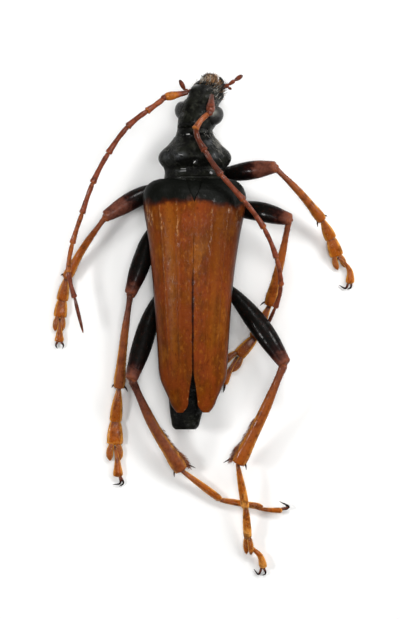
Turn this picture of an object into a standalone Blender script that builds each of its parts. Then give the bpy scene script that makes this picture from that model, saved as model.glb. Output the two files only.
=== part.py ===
"""A long-horned beetle, Mastododera nodicollis, as a still, life-size model of a dried specimen.

Sizes are in millimetres in the body frame: its origin is on the floor under the middle of the
elytral base, +X is the beetle's right, +Y runs towards the head and +Z is up. The finished model
hangs from one empty, which puts the middle of its underside on the world's origin.
"""

import math

import bmesh
import bpy
import numpy as np
from mathutils import Matrix, Vector

MM = 0.001
GAP = 0.27  # the clearance that neighbouring pieces keep
BODY_LENGTH = 28.0  # mouth to the end of the abdomen
UNIT = BODY_LENGTH / 28.0  # every size below is for a body of 28 mm
UP = (0.0, 0.0, 1.0)

SHELL = 0.5  # thickness of an elytron
ANTENNA_RADIUS = 0.28
LEAST_HALF = 0.25  # half the thickness that a thin piece keeps
READING_MIDDLE = np.array([0.525, -10.15, 3.0])  # where marks read from above lie at their own place
READING_DISTANCE = 269.6  # from there up to the point that they are read from
COXAE = {  # centre and half sizes of the right one of each pair
    "fore": ((0.86, 0.55, 0.88), (0.68, 0.78, 0.92)),
    "mid": ((1.25, -2.6, 0.72), (0.74, 0.8, 0.78)),
    "hind": ((1.4, -7.4, 0.7), (1.12, 0.62, 0.75)),
}

# Colour, roughness of each kind of surface.
LOOKS = {
    "black_cuticle": ((0.012, 0.012, 0.011), 0.25),
    "elytra": ((0.26, 0.085, 0.014), 0.42),
    "rust_cuticle": ((0.33, 0.08, 0.018), 0.35),
    "eye": ((0.02, 0.019, 0.017), 0.3),
    "mouthparts": ((0.5, 0.33, 0.16), 0.5),
}


def material(name):
    """The Principled material of one kind of surface, made once."""
    found = bpy.data.materials.get(name)
    if found:
        return found
    colour, roughness = LOOKS[name]
    made = bpy.data.materials.new(name)
    made.use_nodes = True
    surface = made.node_tree.nodes["Principled BSDF"]
    surface.inputs["Base Color"].default_value = (*colour, 1.0)
    surface.inputs["Roughness"].default_value = roughness
    surface.inputs["Metallic"].default_value = 0.0
    return made


def hermite(places, values, wanted):
    """A smooth curve through values at the given places, read at the wanted places."""
    slopes = np.gradient(values, places, axis=0)
    span = np.clip(np.searchsorted(places, wanted, side="right") - 1, 0, len(places) - 2)
    width = (places[span + 1] - places[span])[:, None]
    t = ((wanted - places[span])[:, None]) / width
    start = (2 * t**3 - 3 * t**2 + 1) * values[span] + (t**3 - 2 * t**2 + t) * width * slopes[span]
    end = (3 * t**2 - 2 * t**3) * values[span + 1] + (t**3 - t**2) * width * slopes[span + 1]
    return start + end


def refined(places, steps):
    """The places with every interval between them cut into steps."""
    count = (len(places) - 1) * steps + 1
    return np.interp(np.linspace(0, len(places) - 1, count), np.arange(len(places)), places)


def as_seen(marks):
    """Marks whose X and Y are read from a point above, moved to where their own height puts them."""
    marks = np.asarray(marks, float)
    share = 1 - (marks[..., 2:] - READING_MIDDLE[2]) / READING_DISTANCE
    flat = READING_MIDDLE[:2] + (marks[..., :2] - READING_MIDDLE[:2]) * share
    return np.concatenate([flat, marks[..., 2:]], -1)


def loft(name, rings, look):
    """A closed body through rings of points (ring, point, xyz), with a flat face at each end."""
    rings = np.asarray(rings, float) * MM * UNIT
    mesh = bpy.data.meshes.new(name)
    built = bmesh.new()
    loops = [[built.verts.new(point) for point in ring] for ring in rings]
    sides = len(loops[0])
    for near, far in zip(loops, loops[1:]):
        for i in range(sides):
            j = (i + 1) % sides
            built.faces.new((near[i], near[j], far[j], far[i]))
    built.faces.new(loops[0][::-1])
    built.faces.new(loops[-1])
    bmesh.ops.triangulate(built, faces=built.faces[:])
    bmesh.ops.recalc_face_normals(built, faces=built.faces[:])
    built.to_mesh(mesh)
    built.free()
    obj = bpy.data.objects.new(name, mesh)
    obj.data.materials.append(material(look))
    bpy.context.scene.collection.objects.link(obj)
    return obj


def limb(name, path, profile, look, sides=8, steps=1, up=UP):
    """A tube along a smooth path. Each row of profile is how far along (0 to 1), half width, half height."""
    path = np.asarray(path, float)
    profile = np.asarray(profile, float)
    along = np.concatenate([[0], np.cumsum(np.linalg.norm(np.diff(path, axis=0), axis=1))])
    along /= along[-1]
    at = refined(profile[:, 0], steps)
    centres = hermite(along, path, at)
    halves = hermite(profile[:, 0], profile[:, 1:], at)
    tangents = np.gradient(centres, at, axis=0)
    tangents /= np.linalg.norm(tangents, axis=1)[:, None]
    across = np.cross(tangents, np.asarray(up, float))
    across /= np.linalg.norm(across, axis=1)[:, None]
    above = np.cross(across, tangents)
    turn = np.linspace(0, 2 * math.pi, sides, endpoint=False) + math.pi / sides
    rings = (
        centres[:, None]
        + across[:, None] * (halves[:, :1] * np.cos(turn))[:, :, None]
        + above[:, None] * (halves[:, 1:] * np.sin(turn))[:, :, None]
    )
    return loft(name, rings, look)


def ellipsoid(name, centre, halves, look, rows=8, sides=12):
    """A closed ellipsoid, its poles up and down, each ending in a small flat."""
    rise = np.linspace(-0.45 * math.pi, 0.45 * math.pi, rows)[:, None]
    turn = np.linspace(0, 2 * math.pi, sides, endpoint=False)[None]
    high = np.repeat(np.sin(rise), sides, axis=1)
    rings = np.stack([np.cos(rise) * np.cos(turn), np.cos(rise) * np.sin(turn), high], -1)
    return loft(name, rings * np.asarray(halves) + np.asarray(centre), look)


def sections(knots, stations, sides, upper=2.3, lower=2.0):
    """Cross-sections along Y from knots of (y, middle x, half width, side z, top z, bottom z).

    Each is two half superellipses that meet at the side height, with the given exponents.
    """
    knots = np.asarray(knots, float)
    knots = knots[np.argsort(knots[:, 0])]
    at = refined(knots[:, 0], stations)
    middle, half, side, top, bottom = hermite(knots[:, 0], knots[:, 1:], at).T[:, :, None]
    turn = np.linspace(0, 2 * math.pi, sides, endpoint=False)[None] + math.pi / sides
    power = np.where(np.sin(turn) > 0, 2 / upper, 2 / lower)
    wide = np.sign(np.cos(turn)) * np.abs(np.cos(turn)) ** power
    high = np.abs(np.sin(turn)) ** power
    x = middle + half * wide
    z = np.where(np.sin(turn) > 0, side + (top - side) * high, side - (side - bottom) * high)
    y = np.repeat(at[:, None], sides, axis=1)
    return np.stack([x, y, z], -1)


def bump(points, centre, spread, push):
    """The points moved by push under a bell of the given spread (x, y, z) round a centre."""
    away = (points - np.asarray(centre)) / np.asarray(spread)
    bell = np.exp(-0.5 * (away**2).sum(-1))[..., None]
    return points + bell * np.asarray(push)


def largest_surface(obj):
    """Drops all of an object's faces but its largest closed surface."""
    built = bmesh.new()
    built.from_mesh(obj.data)
    left = set(built.faces)
    shells = []
    while left:
        front = [left.pop()]
        shell = list(front)
        while front:
            near = {face for edge in front.pop().edges for face in edge.link_faces} & left
            left -= near
            front.extend(near)
            shell.extend(near)
        shells.append(shell)
    shells.sort(key=lambda shell: sum(face.calc_area() for face in shell))
    for shell in shells[:-1]:
        bmesh.ops.delete(built, geom=shell, context="FACES")
    built.to_mesh(obj.data)
    built.free()


def combine(obj, others, operation):
    """Joins closed bodies to an object, or cuts them from it, and removes them."""
    group = bpy.data.collections.new("working pieces")
    for other in others:
        group.objects.link(other)
    step = obj.modifiers.new(operation.title(), "BOOLEAN")
    step.operation = operation
    step.operand_type = "COLLECTION"
    step.collection = group
    step.solver = "EXACT"
    graph = bpy.context.evaluated_depsgraph_get()
    old = obj.data
    obj.data = bpy.data.meshes.new_from_object(obj.evaluated_get(graph))
    obj.modifiers.clear()
    bpy.data.meshes.remove(old)
    for other in others:
        bpy.data.objects.remove(other)
    bpy.data.collections.remove(group)
    largest_surface(obj)
    return obj


def swollen(obj, by=GAP):
    """A copy of a closed body with its whole surface moved outwards."""
    built = bmesh.new()
    built.from_mesh(obj.data)
    built.normal_update()
    moves = [(vertex, vertex.normal * vertex.calc_shell_factor() * by * MM) for vertex in built.verts]
    for vertex, move in moves:
        vertex.co += move
    mesh = bpy.data.meshes.new("cutter")
    built.to_mesh(mesh)
    built.free()
    copy = bpy.data.objects.new("cutter", mesh)
    bpy.context.scene.collection.objects.link(copy)
    return copy


def cleared(obj, neighbours):
    """The body cut back so that it keeps the gap to each neighbour."""
    return combine(obj, [swollen(neighbour) for neighbour in neighbours], "DIFFERENCE")


def cut_flat(obj, point, normal):
    """Cuts away what lies behind a plane and closes the cut with a flat face."""
    built = bmesh.new()
    built.from_mesh(obj.data)
    geometry = built.verts[:] + built.edges[:] + built.faces[:]
    place = Vector(point) * MM * UNIT
    bmesh.ops.bisect_plane(
        built, geom=geometry, dist=1e-7, plane_co=place, plane_no=normal, clear_inner=True
    )
    open_edges = [edge for edge in built.edges if edge.is_boundary]
    bmesh.ops.holes_fill(built, edges=open_edges, sides=0)
    bmesh.ops.triangulate(built, faces=built.faces[:])
    built.to_mesh(obj.data)
    built.free()
    return obj


def stood(obj):
    """The body with a flat where it would reach through the floor."""
    return cut_flat(obj, (0, 0, 0), UP)


PRONOTUM = (
    (4.0, 0.12, 1.36, 3.6, 4.85, 2.2),
    (3.7, 0.12, 1.42, 3.6, 4.95, 2.1),
    (3.4, 0.12, 1.56, 3.55, 4.85, 2.0),
    (3.0, 0.12, 1.84, 3.5, 5.05, 1.9),
    (2.6, 0.12, 2.08, 3.5, 5.25, 1.8),
    (1.7, 0.12, 2.3, 3.4, 5.35, 1.65),
    (1.0, 0.12, 2.22, 3.4, 5.1, 1.65),
    (0.4, 0.12, 2.34, 3.4, 5.05, 1.75),
    (0.12, 0.12, 2.42, 3.45, 5.05, 1.85),
)
KNOB = (0.98, 1.95, 5.2)  # the right one of two on the disc
TUBERCLE = (2.35, 1.68, 3.6)  # the right one of two at the sides


def build_pronotum(coxae):
    """The knobbed first ring of the thorax, with a collar, a waist and hollows for the fore coxae."""
    rings = sections(PRONOTUM, 2, 28)
    for side in (-1, 1):
        knob = (0.12 + side * KNOB[0], KNOB[1], KNOB[2])
        rings = bump(rings, knob, (0.52, 0.55, 0.8), (side * 0.1, 0, 0.62))
        tubercle = (0.12 + side * TUBERCLE[0], TUBERCLE[1], TUBERCLE[2])
        rings = bump(rings, tubercle, (0.7, 0.4, 0.6), (side * 0.62, 0, 0.08))
    obj = loft("pronotum", rings, "black_cuticle")
    return cleared(obj, coxae)


THORAX = (
    (-0.15, 0.0, 2.2, 3.3, 4.35, 2.0),
    (-1.2, 0.0, 2.9, 3.5, 4.6, 1.75),
    (-2.7, 0.0, 3.15, 3.6, 5.1, 1.45),
    (-4.5, 0.0, 2.8, 3.4, 5.15, 1.1),
    (-6.6, 0.0, 2.5, 3.2, 5.05, 1.05),
    (-7.35, 0.0, 2.4, 3.1, 4.95, 1.15),
)
ABDOMEN = (
    (-7.62, 0.0, 2.35, 3.0, 4.85, 1.15),
    (-8.6, 0.0, 2.35, 2.95, 4.75, 1.0),
    (-11.0, -0.03, 2.12, 2.85, 4.45, 0.95),
    (-14.0, -0.15, 1.85, 2.7, 3.85, 1.0),
    (-16.5, -0.36, 1.62, 2.55, 3.35, 1.1),
    (-18.0, -0.54, 1.3, 2.45, 3.15, 1.25),
    (-18.9, -0.6, 1.1, 2.38, 3.02, 1.4),
    (-19.56, -0.62, 0.9, 2.32, 2.85, 1.68),
)
VENTRITES = 5  # plates under the abdomen


def build_trunk(coxae):
    """The middle and hind rings of the thorax, in one, with hollows for the coxae."""
    obj = loft("thorax", sections(THORAX, 3, 24), "black_cuticle")
    return cleared(obj, coxae)


def build_abdomen(coxae):
    """The abdomen, with a step at the hind edge of each plate."""
    rings = sections(ABDOMEN, 4, 24)
    front, end = ABDOMEN[0][0], ABDOMEN[-1][0]
    along = (rings[..., 1:2] - front) / (end - front) * VENTRITES
    swell = 1.0 + 0.035 * (along % 1.0)
    middle = rings.mean(axis=1, keepdims=True)
    obj = loft("abdomen", middle + (rings - middle) * swell, "black_cuticle")
    return cleared(obj, coxae)


SCUTELLUM = ((-0.15, 0.5), (-0.75, 0.42), (-1.3, 0.16))  # y, half width
SCUTELLUM_TOP = 5.35


def build_scutellum():
    """The small shield between the bases of the elytra."""
    top = SCUTELLUM_TOP
    knots = [(y, 0.0, half, top - 0.25, top, top - 0.5) for y, half in SCUTELLUM]
    return loft("scutellum", sections(knots, 2, 12), "black_cuticle")


# Along the right elytron: y, inner edge x, outer edge x, height at the suture, height at the margin.
ELYTRON = (
    (-0.15, 0.78, 2.95, 5.15, 4.2),
    (-0.45, 0.72, 3.5, 5.4, 4.0),
    (-0.85, 0.56, 3.88, 5.65, 3.75),
    (-1.3, 0.3, 4.04, 5.8, 3.6),
    (-1.8, 0.135, 4.02, 5.95, 3.5),
    (-4.6, 0.135, 3.57, 6.15, 3.35),
    (-7.6, 0.135, 3.2, 6.05, 3.25),
    (-11.4, 0.135, 2.9, 5.65, 3.3),
    (-14.2, 0.135, 2.72, 5.2, 3.4),
    (-15.4, 0.15, 2.66, 5.0, 3.5),
    (-16.2, 0.18, 2.33, 4.85, 3.6),
    (-17.1, 0.27, 1.9, 4.6, 3.7),
    (-17.8, 0.45, 1.6, 4.4, 3.65),
    (-18.2, 0.75, 1.28, 4.2, 3.55),
)


def lean(y):
    """How far to the beetle's right the wing cases lie at a place along it."""
    t = np.clip((y + 9.0) / 7.5, 0, 1)
    return 0.12 * t * t * (3 - 2 * t) - 0.03


def build_elytron(name, side):
    """One wing case: a curved shell, high at the suture and rolled down at the margin."""
    knots = np.asarray(ELYTRON)[::-1]
    at = refined(knots[:, 0], 2)
    inner, outer, top, margin = hermite(knots[:, 0], knots[:, 1:], at).T[:, :, None]
    turn = np.linspace(0, math.pi / 2, 12)[None]
    out, up = np.sin(turn) ** 0.8, np.cos(turn) ** 0.8
    span, rise = outer - inner, top - margin
    skin = np.stack([inner + span * out, np.repeat(at[:, None], 12, axis=1), margin + rise * up], -1)
    shell = np.minimum(SHELL, 0.75 * span)
    lining = np.stack(
        [inner + (span - shell) * out, skin[..., 1], margin + (rise - SHELL) * up], -1
    )
    rings = np.concatenate([skin, lining[:, ::-1]], axis=1) * (side, 1, 1)
    rings[..., 0] += lean(rings[..., 1])
    return loft(name, rings, "elytra")


NECK = Vector((0.13, 4.08, 3.65))
HEAD_YAW, HEAD_PITCH, HEAD_ROLL = math.radians(18), math.radians(24), math.radians(18)
# Along the head: how far forward, middle x, half width, side z, top z, bottom z.
HEAD = (
    (-0.6, 0.0, 1.1, 0.0, 1.05, -1.05),
    (0.3, 0.0, 1.34, 0.0, 1.25, -1.3),
    (1.0, 0.0, 1.5, 0.0, 1.38, -1.45),
    (1.7, 0.0, 1.48, 0.0, 1.4, -1.5),
    (2.3, 0.0, 1.22, 0.0, 1.28, -1.45),
    (2.85, 0.0, 1.12, 0.0, 1.1, -1.35),
    (3.4, 0.0, 1.16, -0.05, 0.85, -1.25),
    (3.9, 0.0, 1.08, -0.1, 0.6, -1.1),
    (4.2, 0.0, 0.94, -0.15, 0.42, -0.95),
)
EYE = (1.3, 1.35, 0.2)  # right eye: its base on the head, in the head's frame
EYE_RISE, EYE_RADIUS = 0.66, 0.84
ANTENNA_ROOT = (0.78, 2.72, 0.8)  # right side, in the head's frame


def head_frame():
    """Turns the head's own frame (right, forward, up) into the body frame."""
    forward = Vector((
        math.sin(HEAD_YAW) * math.cos(HEAD_PITCH),
        math.cos(HEAD_YAW) * math.cos(HEAD_PITCH),
        -math.sin(HEAD_PITCH),
    ))
    right = Vector((math.cos(HEAD_YAW), -math.sin(HEAD_YAW), 0))
    right = Matrix.Rotation(-HEAD_ROLL, 3, forward) @ right
    above = right.cross(forward)
    turned = Matrix((right, forward, above)).transposed().to_4x4()
    return Matrix.Translation(NECK) @ turned


def in_head(points):
    """Points of the head's own frame in the body frame."""
    frame = np.array(head_frame())
    return np.asarray(points, float) @ frame[:3, :3].T + frame[:3, 3]


def eye_body(name, side):
    """The domed outer part of an eye, flat where it faces the head."""
    base = np.array([side * EYE[0], EYE[1], EYE[2]])
    out = np.array([side * EYE_RISE, 0, 0])
    path = in_head([base, base + 0.5 * out, base + out])
    dome = [(t, EYE_RADIUS * math.sqrt(1 - 0.93 * t**2), 0.9 * EYE_RADIUS * math.sqrt(1 - 0.93 * t**2))
            for t in (0.0, 0.35, 0.6, 0.8, 0.93, 1.0)]
    return limb(name, path, dome, "eye", sides=14)


def build_head(eyes):
    """The head capsule with its antennal knobs, cheeks, and a shallow seat for each eye."""
    rings = sections(HEAD, 2, 24, upper=2.2, lower=2.2)
    for side in (-1, 1):
        root = (side * ANTENNA_ROOT[0], ANTENNA_ROOT[1], ANTENNA_ROOT[2])
        rings = bump(rings, root, (0.36, 0.4, 0.5), (side * 0.12, 0, 0.3))
        rings = bump(rings, (side * 1.1, 3.25, -0.3), (0.5, 0.35, 0.5), (side * 0.22, 0, 0))
    rings = bump(rings, (0, 2.5, 1.2), (0.22, 0.6, 0.4), (0, 0, -0.14))
    obj = loft("head", in_head(rings), "black_cuticle")
    cut_flat(obj, (0, PRONOTUM[0][0] + GAP, 0), (0, 1, 0))
    return cleared(obj, eyes)


def build_mouth(head):
    """The labrum, two mandibles and two maxillary palps."""
    labrum = [(4.2 + GAP, 0.0, 0.62, 0.1, 0.38, -0.14), (4.62, 0, 0.6, 0.08, 0.34, -0.16),
              (4.9, 0.0, 0.42, 0.04, 0.22, -0.12)]
    pieces = [loft("labrum", in_head(sections(labrum, 2, 14)), "mouthparts")]
    for side, word in ((-1, "left"), (1, "right")):
        path = in_head([(side * 0.6, 4.2 + GAP, -0.66), (side * 0.66, 4.75, -0.68), (side * 0.3, 5.2, -0.62)])
        profile = [(0, 0.28, 0.25), (0.5, 0.27, 0.24), (0.85, 0.18, 0.18), (1.0, 0.08, 0.08)]
        pieces.append(limb(f"mandible_{word}", path, profile, "black_cuticle", steps=2))
    palps = {
        "left": [(-0.1, 7.1, 2.0), (-0.36, 6.98, 2.25), (-0.66, 7.08, 2.45), (-1.08, 7.88, 2.8)],
        "right": [(2.3, 7.3, 2.1), (2.79, 7.52, 2.35), (3.24, 7.83, 2.55), (3.88, 8.24, 2.75)],
    }
    profile = [(0, 0.22, 0.22), (0.25, 0.25, 0.25), (0.42, 0.2, 0.2), (0.55, 0.25, 0.25),
               (0.62, 0.2, 0.2), (0.8, 0.25, 0.25), (0.95, 0.16, 0.16), (1.0, 0.08, 0.08)]
    for word, path in palps.items():
        palp = limb(f"palp_{word}", path, profile, "rust_cuticle", sides=8)
        pieces.append(cleared(palp, [head]))
    return pieces


# Marks of each antenna: its root, then the far end of each of its eleven pieces.
ANTENNA_MARKS = {
    "left": [
        (-0.42, 6.86, 3.62), (-2.18, 6.51, 4.2), (-2.34, 6.34, 4.26), (-3.62, 5.41, 4.6),
        (-5.14, 4.21, 4.7), (-6.66, 2.12, 4.5), (-7.88, -0.2, 4.1), (-8.71, -2.59, 3.5),
        (-9.48, -4.95, 2.9), (-9.8, -7.17, 2.4), (-9.32, -9.18, 2.1), (-8.66, -11.88, 1.9),
    ],
    "right": [
        (1.44, 6.66, 4.05), (1.33, 5.36, 5.2), (1.17, 5.2, 5.32), (0.16, 4.0, 5.85),
        (0.88, 2.35, 6.45), (2.16, 0.43, 6.5), (3.91, -1.54, 6.1), (5.53, -3.74, 5.4),
        (6.5, -6.08, 4.6), (6.88, -8.23, 3.7), (6.44, -9.96, 2.65), (5.45, -12.1, 1.05),
    ],
}
ANTENNAE = {word: as_seen(marks) for word, marks in ANTENNA_MARKS.items()}
ANTENNA_LENGTHS = (("scape", 0, 2), ("middle", 2, 6), ("tip", 6, 11))  # name, first joint, last joint
ANTENNA_TAPER = np.linspace(1.05, 0.8, 12)


def build_antenna_length(word, part, first, last):
    """Part of an antenna: pieces that are thin at their base and flare to their end."""
    joints = ANTENNAE[word][first : last + 1].copy()
    if first:
        way = joints[1] - joints[0]
        joints[0] += way / np.linalg.norm(way) * GAP
    runs = np.concatenate([[0], np.cumsum(np.linalg.norm(np.diff(joints, axis=0), axis=1))])
    runs /= runs[-1]
    profile = []
    for i, (start, end) in enumerate(zip(runs, runs[1:])):
        radius = ANTENNA_RADIUS * ANTENNA_TAPER[first + i]
        club = 1.3 if first + i == 0 else 1.0
        for part_way, share in ((0.04, 0.8), (0.5, 0.92 * club), (0.88, 1.1 * club), (0.98, 0.85)):
            profile.append((start + (end - start) * part_way, radius * share, radius * share))
    profile[0] = (0.0, *profile[0][1:])
    closing = 0.3 if part == "tip" else 1.0
    profile[-1] = (1.0, profile[-1][1] * closing, profile[-1][2] * closing)
    return limb(f"antenna_{word}_{part}", joints, profile, "rust_cuticle", sides=8)


FEMUR_PROFILE = ((0, 0.3, 0.3), (0.16, 0.36, 0.36), (0.3, 0.54, 0.5), (0.55, 0.76, 0.68),
                 (0.76, 0.73, 0.63), (0.92, 0.54, 0.5), (0.98, 0.44, 0.42), (1.0, 0.3, 0.3))
TIBIA_PROFILE = ((0, 0.28, 0.28), (0.1, 0.29, 0.29), (0.4, 0.33, 0.3), (0.75, 0.4, 0.34),
                 (0.95, 0.47, 0.4), (1.0, 0.38, 0.34))
PAD_PROFILE = ((0, 0.5, 0.24), (0.35, 0.7, 0.25), (0.8, 1.0, 0.27), (0.96, 1.0, 0.25), (1.0, 0.8, 0.18))
LOBE_PROFILE = ((0, 1.0, 0.24), (0.4, 1.1, 0.26), (0.85, 1.0, 0.24), (1.0, 0.5, 0.12))
LAST_PROFILE = ((0, 0.7, 0.24), (0.5, 0.7, 0.24), (0.9, 1.0, 0.27), (1.0, 0.8, 0.2))
CLAW_PROFILE = ((0, 0.16, 0.16), (0.4, 0.13, 0.13), (0.8, 0.08, 0.08), (1.0, 0.03, 0.03))
SPUR_PROFILE = ((0, 0.15, 0.15), (0.5, 0.11, 0.11), (1.0, 0.03, 0.03))

# Marks of every leg from its root in the coxa to its claws. femur_width and tibia_width scale the
# profiles above. shin is the middle of the tibia, spur the length of its two spines, pads the far
# ends of the first two pieces of the foot, lobes how far the third reaches and how wide it
# spreads, last the joints of the fifth piece, claws the bend and the tip of each claw, and widths
# the half widths of the two pads, a lobe and the last piece.
LEG_MARKS = {
    "fore_left": {
        "femur": [(-0.95, 0.45, 0.85), (-2.2, -0.48, 1.05), (-4.0, -1.2, 1.45), (-6.95, -2.88, 2.2)],
        "shin": (-8.57, -5.25, 1.5), "ankle": (-9.98, -7.74, 0.75), "spur": 0.4,
        "femur_width": 0.95, "tibia_width": 0.84,
        "pads": [(-10.29, -9.47, 0.32), (-10.45, -10.74, 0.26)], "lobes": (1.15, 0.25),
        "widths": (0.47, 0.52, 0.24, 0.36),
        "last": [(-10.47, -11.2, 0.36), (-10.52, -12.72, 0.3)],
        "claws": [((-10.76, -13.0, 0.24), (-10.65, -13.22, 0.12)),
                  ((-10.18, -13.0, 0.24), (-10.26, -13.23, 0.12))], "up": UP,
    },
    "fore_right": {
        "femur": [(0.95, 0.5, 0.85), (3.11, 0.55, 2.05), (4.8, 0.8, 3.05), (6.5, 1.04, 3.9)],
        "shin": (8.38, -1.02, 2.7), "ankle": (10.14, -3.17, 1.5), "spur": 0.4,
        "femur_width": 0.95, "tibia_width": 0.86,
        "pads": [(10.8, -4.63, 0.85), (11.26, -5.96, 0.42)], "lobes": (1.1, 0.29),
        "widths": (0.48, 0.55, 0.24, 0.34),
        "last": [(11.5, -6.2, 0.5), (12.25, -7.1, 0.38), (12.28, -8.15, 0.3)],
        "claws": [((11.96, -8.48, 0.24), (11.41, -8.23, 0.12)),
                  ((12.34, -8.43, 0.24), (12.07, -8.57, 0.12))], "up": UP,
    },
    "mid_left": {
        "femur": [(-1.4, -2.7, 0.72), (-3.2, -4.25, 1.3), (-3.96, -6.18, 1.7), (-4.97, -9.0, 2.3)],
        "shin": (-5.46, -12.67, 1.5), "ankle": (-5.84, -16.36, 0.75), "spur": 0.5,
        "femur_width": 0.98, "tibia_width": 0.95,
        "pads": [(-6.11, -19.01, 0.34), (-6.15, -20.74, 0.26)], "lobes": (1.3, 0.36),
        "widths": (0.49, 0.64, 0.28, 0.38),
        "last": [(-6.0, -21.6, 0.4), (-5.89, -23.28, 0.3)],
        "claws": [((-5.73, -23.76, 0.24), (-6.33, -23.88, 0.12)),
                  ((-5.5, -23.8, 0.2), (-5.83, -24.04, 0.12))], "up": UP,
    },
    "mid_right": {
        "femur": [(1.4, -2.55, 0.72), (3.0, -2.3, 1.65), (4.75, -2.4, 2.7), (7.66, -3.1, 4.3)],
        "shin": (6.82, -6.47, 2.8), "ankle": (5.97, -9.84, 1.25), "spur": 0.5,
        "femur_width": 1.0, "tibia_width": 0.95,
        "pads": [(4.72, -12.46, 0.55), (3.54, -13.75, 0.3)], "lobes": (1.4, 0.42),
        "widths": (0.45, 0.5, 0.28, 0.34),
        "last": [(3.2, -14.3, 0.4), (2.33, -15.99, 0.32)],
        "claws": [((2.0, -16.3, 0.24), (1.85, -16.52, 0.12)),
                  ((2.42, -16.4, 0.24), (2.35, -16.65, 0.12))], "up": UP,
    },
    "hind_left": {
        "femur": [(-1.6, -7.45, 0.72), (-3.1, -10.2, 1.45), (-4.1, -13.22, 2.25), (-4.9, -15.72, 3.0)],
        "shin": (-3.06, -19.37, 1.9), "ankle": (-0.88, -22.8, 0.85), "spur": 0.75,
        "femur_width": 1.03, "tibia_width": 1.24,
        "pads": [(2.19, -25.09, 0.3), (4.29, -25.44, 0.28)], "lobes": (1.2, 0.16),
        "widths": (0.32, 0.26, 0.2, 0.27),
        "last": [(5.2, -25.75, 0.36), (7.0, -25.92, 0.36)],
        "claws": [((7.15, -25.56, 0.51), (6.75, -25.2, 0.5)),
                  ((7.42, -25.62, 0.33), (7.3, -25.3, 0.14))], "up": (0.2, -1.0, 0.35),
    },
    "hind_right": {
        "femur": [(1.6, -7.45, 0.72), (3.19, -9.0, 1.4), (5.31, -11.62, 2.45), (7.24, -14.5, 3.4)],
        "shin": (5.41, -18.43, 2.65), "ankle": (3.47, -22.28, 1.85), "spur": 0.8,
        "femur_width": 1.08, "tibia_width": 1.24,
        "pads": [(4.12, -25.84, 1.3), (4.27, -28.08, 0.75)], "lobes": (1.35, 0.22),
        "widths": (0.34, 0.35, 0.22, 0.35),
        "last": [(4.5, -28.7, 0.6), (5.25, -29.5, 0.5), (5.52, -30.45, 0.34)],
        "claws": [((5.11, -30.91, 0.2), (4.74, -30.49, 0.12)),
                  ((5.64, -30.88, 0.2), (5.42, -31.0, 0.12))], "up": (-0.6, 0.1, 0.8),
    },
}
JOINT_KEYS = ("femur", "shin", "ankle", "pads", "last", "claws")
LEGS = {
    word: {key: as_seen(value) if key in JOINT_KEYS else value for key, value in marks.items()}
    for word, marks in LEG_MARKS.items()
}


def scaled(profile, width):
    """A profile with its half width and height scaled."""
    return [(at, half * width, high * width) for at, half, high in profile]


def widened(profile, width):
    """A profile with its half width scaled and kept above the least, and its height as it is."""
    return [(at, max(half * width, LEAST_HALF * (at < 1)), high) for at, half, high in profile]


def unit(vector):
    """A vector scaled to a length of one."""
    return vector / np.linalg.norm(vector)


def foot_pieces(name, leg):
    """The soft pieces of a foot: two pads, the two lobes of the third and the slender last piece."""
    up, widths = leg["up"], leg["widths"]
    joints = [leg["ankle"], *leg["pads"]]
    pieces = []
    for start, end, width in zip(joints, joints[1:], widths):
        path = [start, (start + end) / 2, end + 0.08 * (end - start)]
        pieces.append(limb(name, path, widened(PAD_PROFILE, width), "rust_cuticle", up=up))
    ahead = unit(joints[-1] - joints[-2])
    across = unit(np.cross(ahead, np.asarray(up, float)))
    reach, spread = leg["lobes"]
    start = joints[-1] - 0.2 * ahead
    for side in (-1, 1):
        root = start + side * 0.07 * across + 0.03 * side * ahead
        end = start + (reach + 0.2) * ahead + side * spread * across
        end[2] = max(end[2], 0.2)
        path = [root, (root + end) / 2 + side * 0.08 * across, end]
        pieces.append(limb(name, path, widened(LOBE_PROFILE, widths[2]), "rust_cuticle", up=up))
    last = [start + 0.1 * ahead, *leg["last"]]
    pieces.append(limb(name, last, widened(LAST_PROFILE, widths[3]), "rust_cuticle", up=up))
    return pieces


def build_foot(name, leg):
    """A foot: its soft pieces and a pair of hooked claws, in one."""
    pieces = foot_pieces(name, leg)
    end = leg["last"][-1]
    inward = unit(end - leg["last"][-2])
    for bend, tip in leg["claws"]:
        aside = bend - end - np.dot(bend - end, inward) * inward
        root = end - 0.12 * inward + 0.12 * unit(aside)
        pieces.append(limb(name, [root, bend, tip], CLAW_PROFILE, "rust_cuticle", sides=5, up=leg["up"]))
    return combine(pieces[0], pieces[1:], "UNION")


def build_spines(name, leg):
    """A spine at each edge of the far end of the tibia, pointing along the foot and a little outwards."""
    shin, ankle = leg["shin"], leg["ankle"]
    ahead = unit(ankle - shin)
    across = unit(np.cross(ahead, UP))
    spines = []
    for side in (-1, 1):
        root = ankle - 0.3 * ahead + side * 0.3 * leg["tibia_width"] * across
        tip = root + (leg["spur"] + 0.3) * unit(ahead + side * 0.4 * across)
        spines.append(limb(name, [root, (root + tip) / 2, tip], SPUR_PROFILE, "rust_cuticle", sides=5))
    return spines


def build_leg(word, leg, coxa):
    """The femur, tibia and foot of one leg, each cut back from what it grows from."""
    name = f"leg_{word}"
    femur = limb(f"{name}_femur", leg["femur"], scaled(FEMUR_PROFILE, leg["femur_width"]),
                 "black_cuticle", sides=12, steps=2)
    cleared(femur, [coxa])
    shin_path = [leg["femur"][-1], leg["shin"], leg["ankle"]]
    tibia = limb(f"{name}_tibia", shin_path, scaled(TIBIA_PROFILE, leg["tibia_width"]),
                 "rust_cuticle", sides=10, steps=2)
    cleared(tibia, [femur])
    foot = cleared(build_foot(f"{name}_tarsus", leg), [tibia])
    combine(tibia, build_spines("spine", leg), "UNION")
    return [stood(femur), stood(tibia), stood(foot)]


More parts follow.
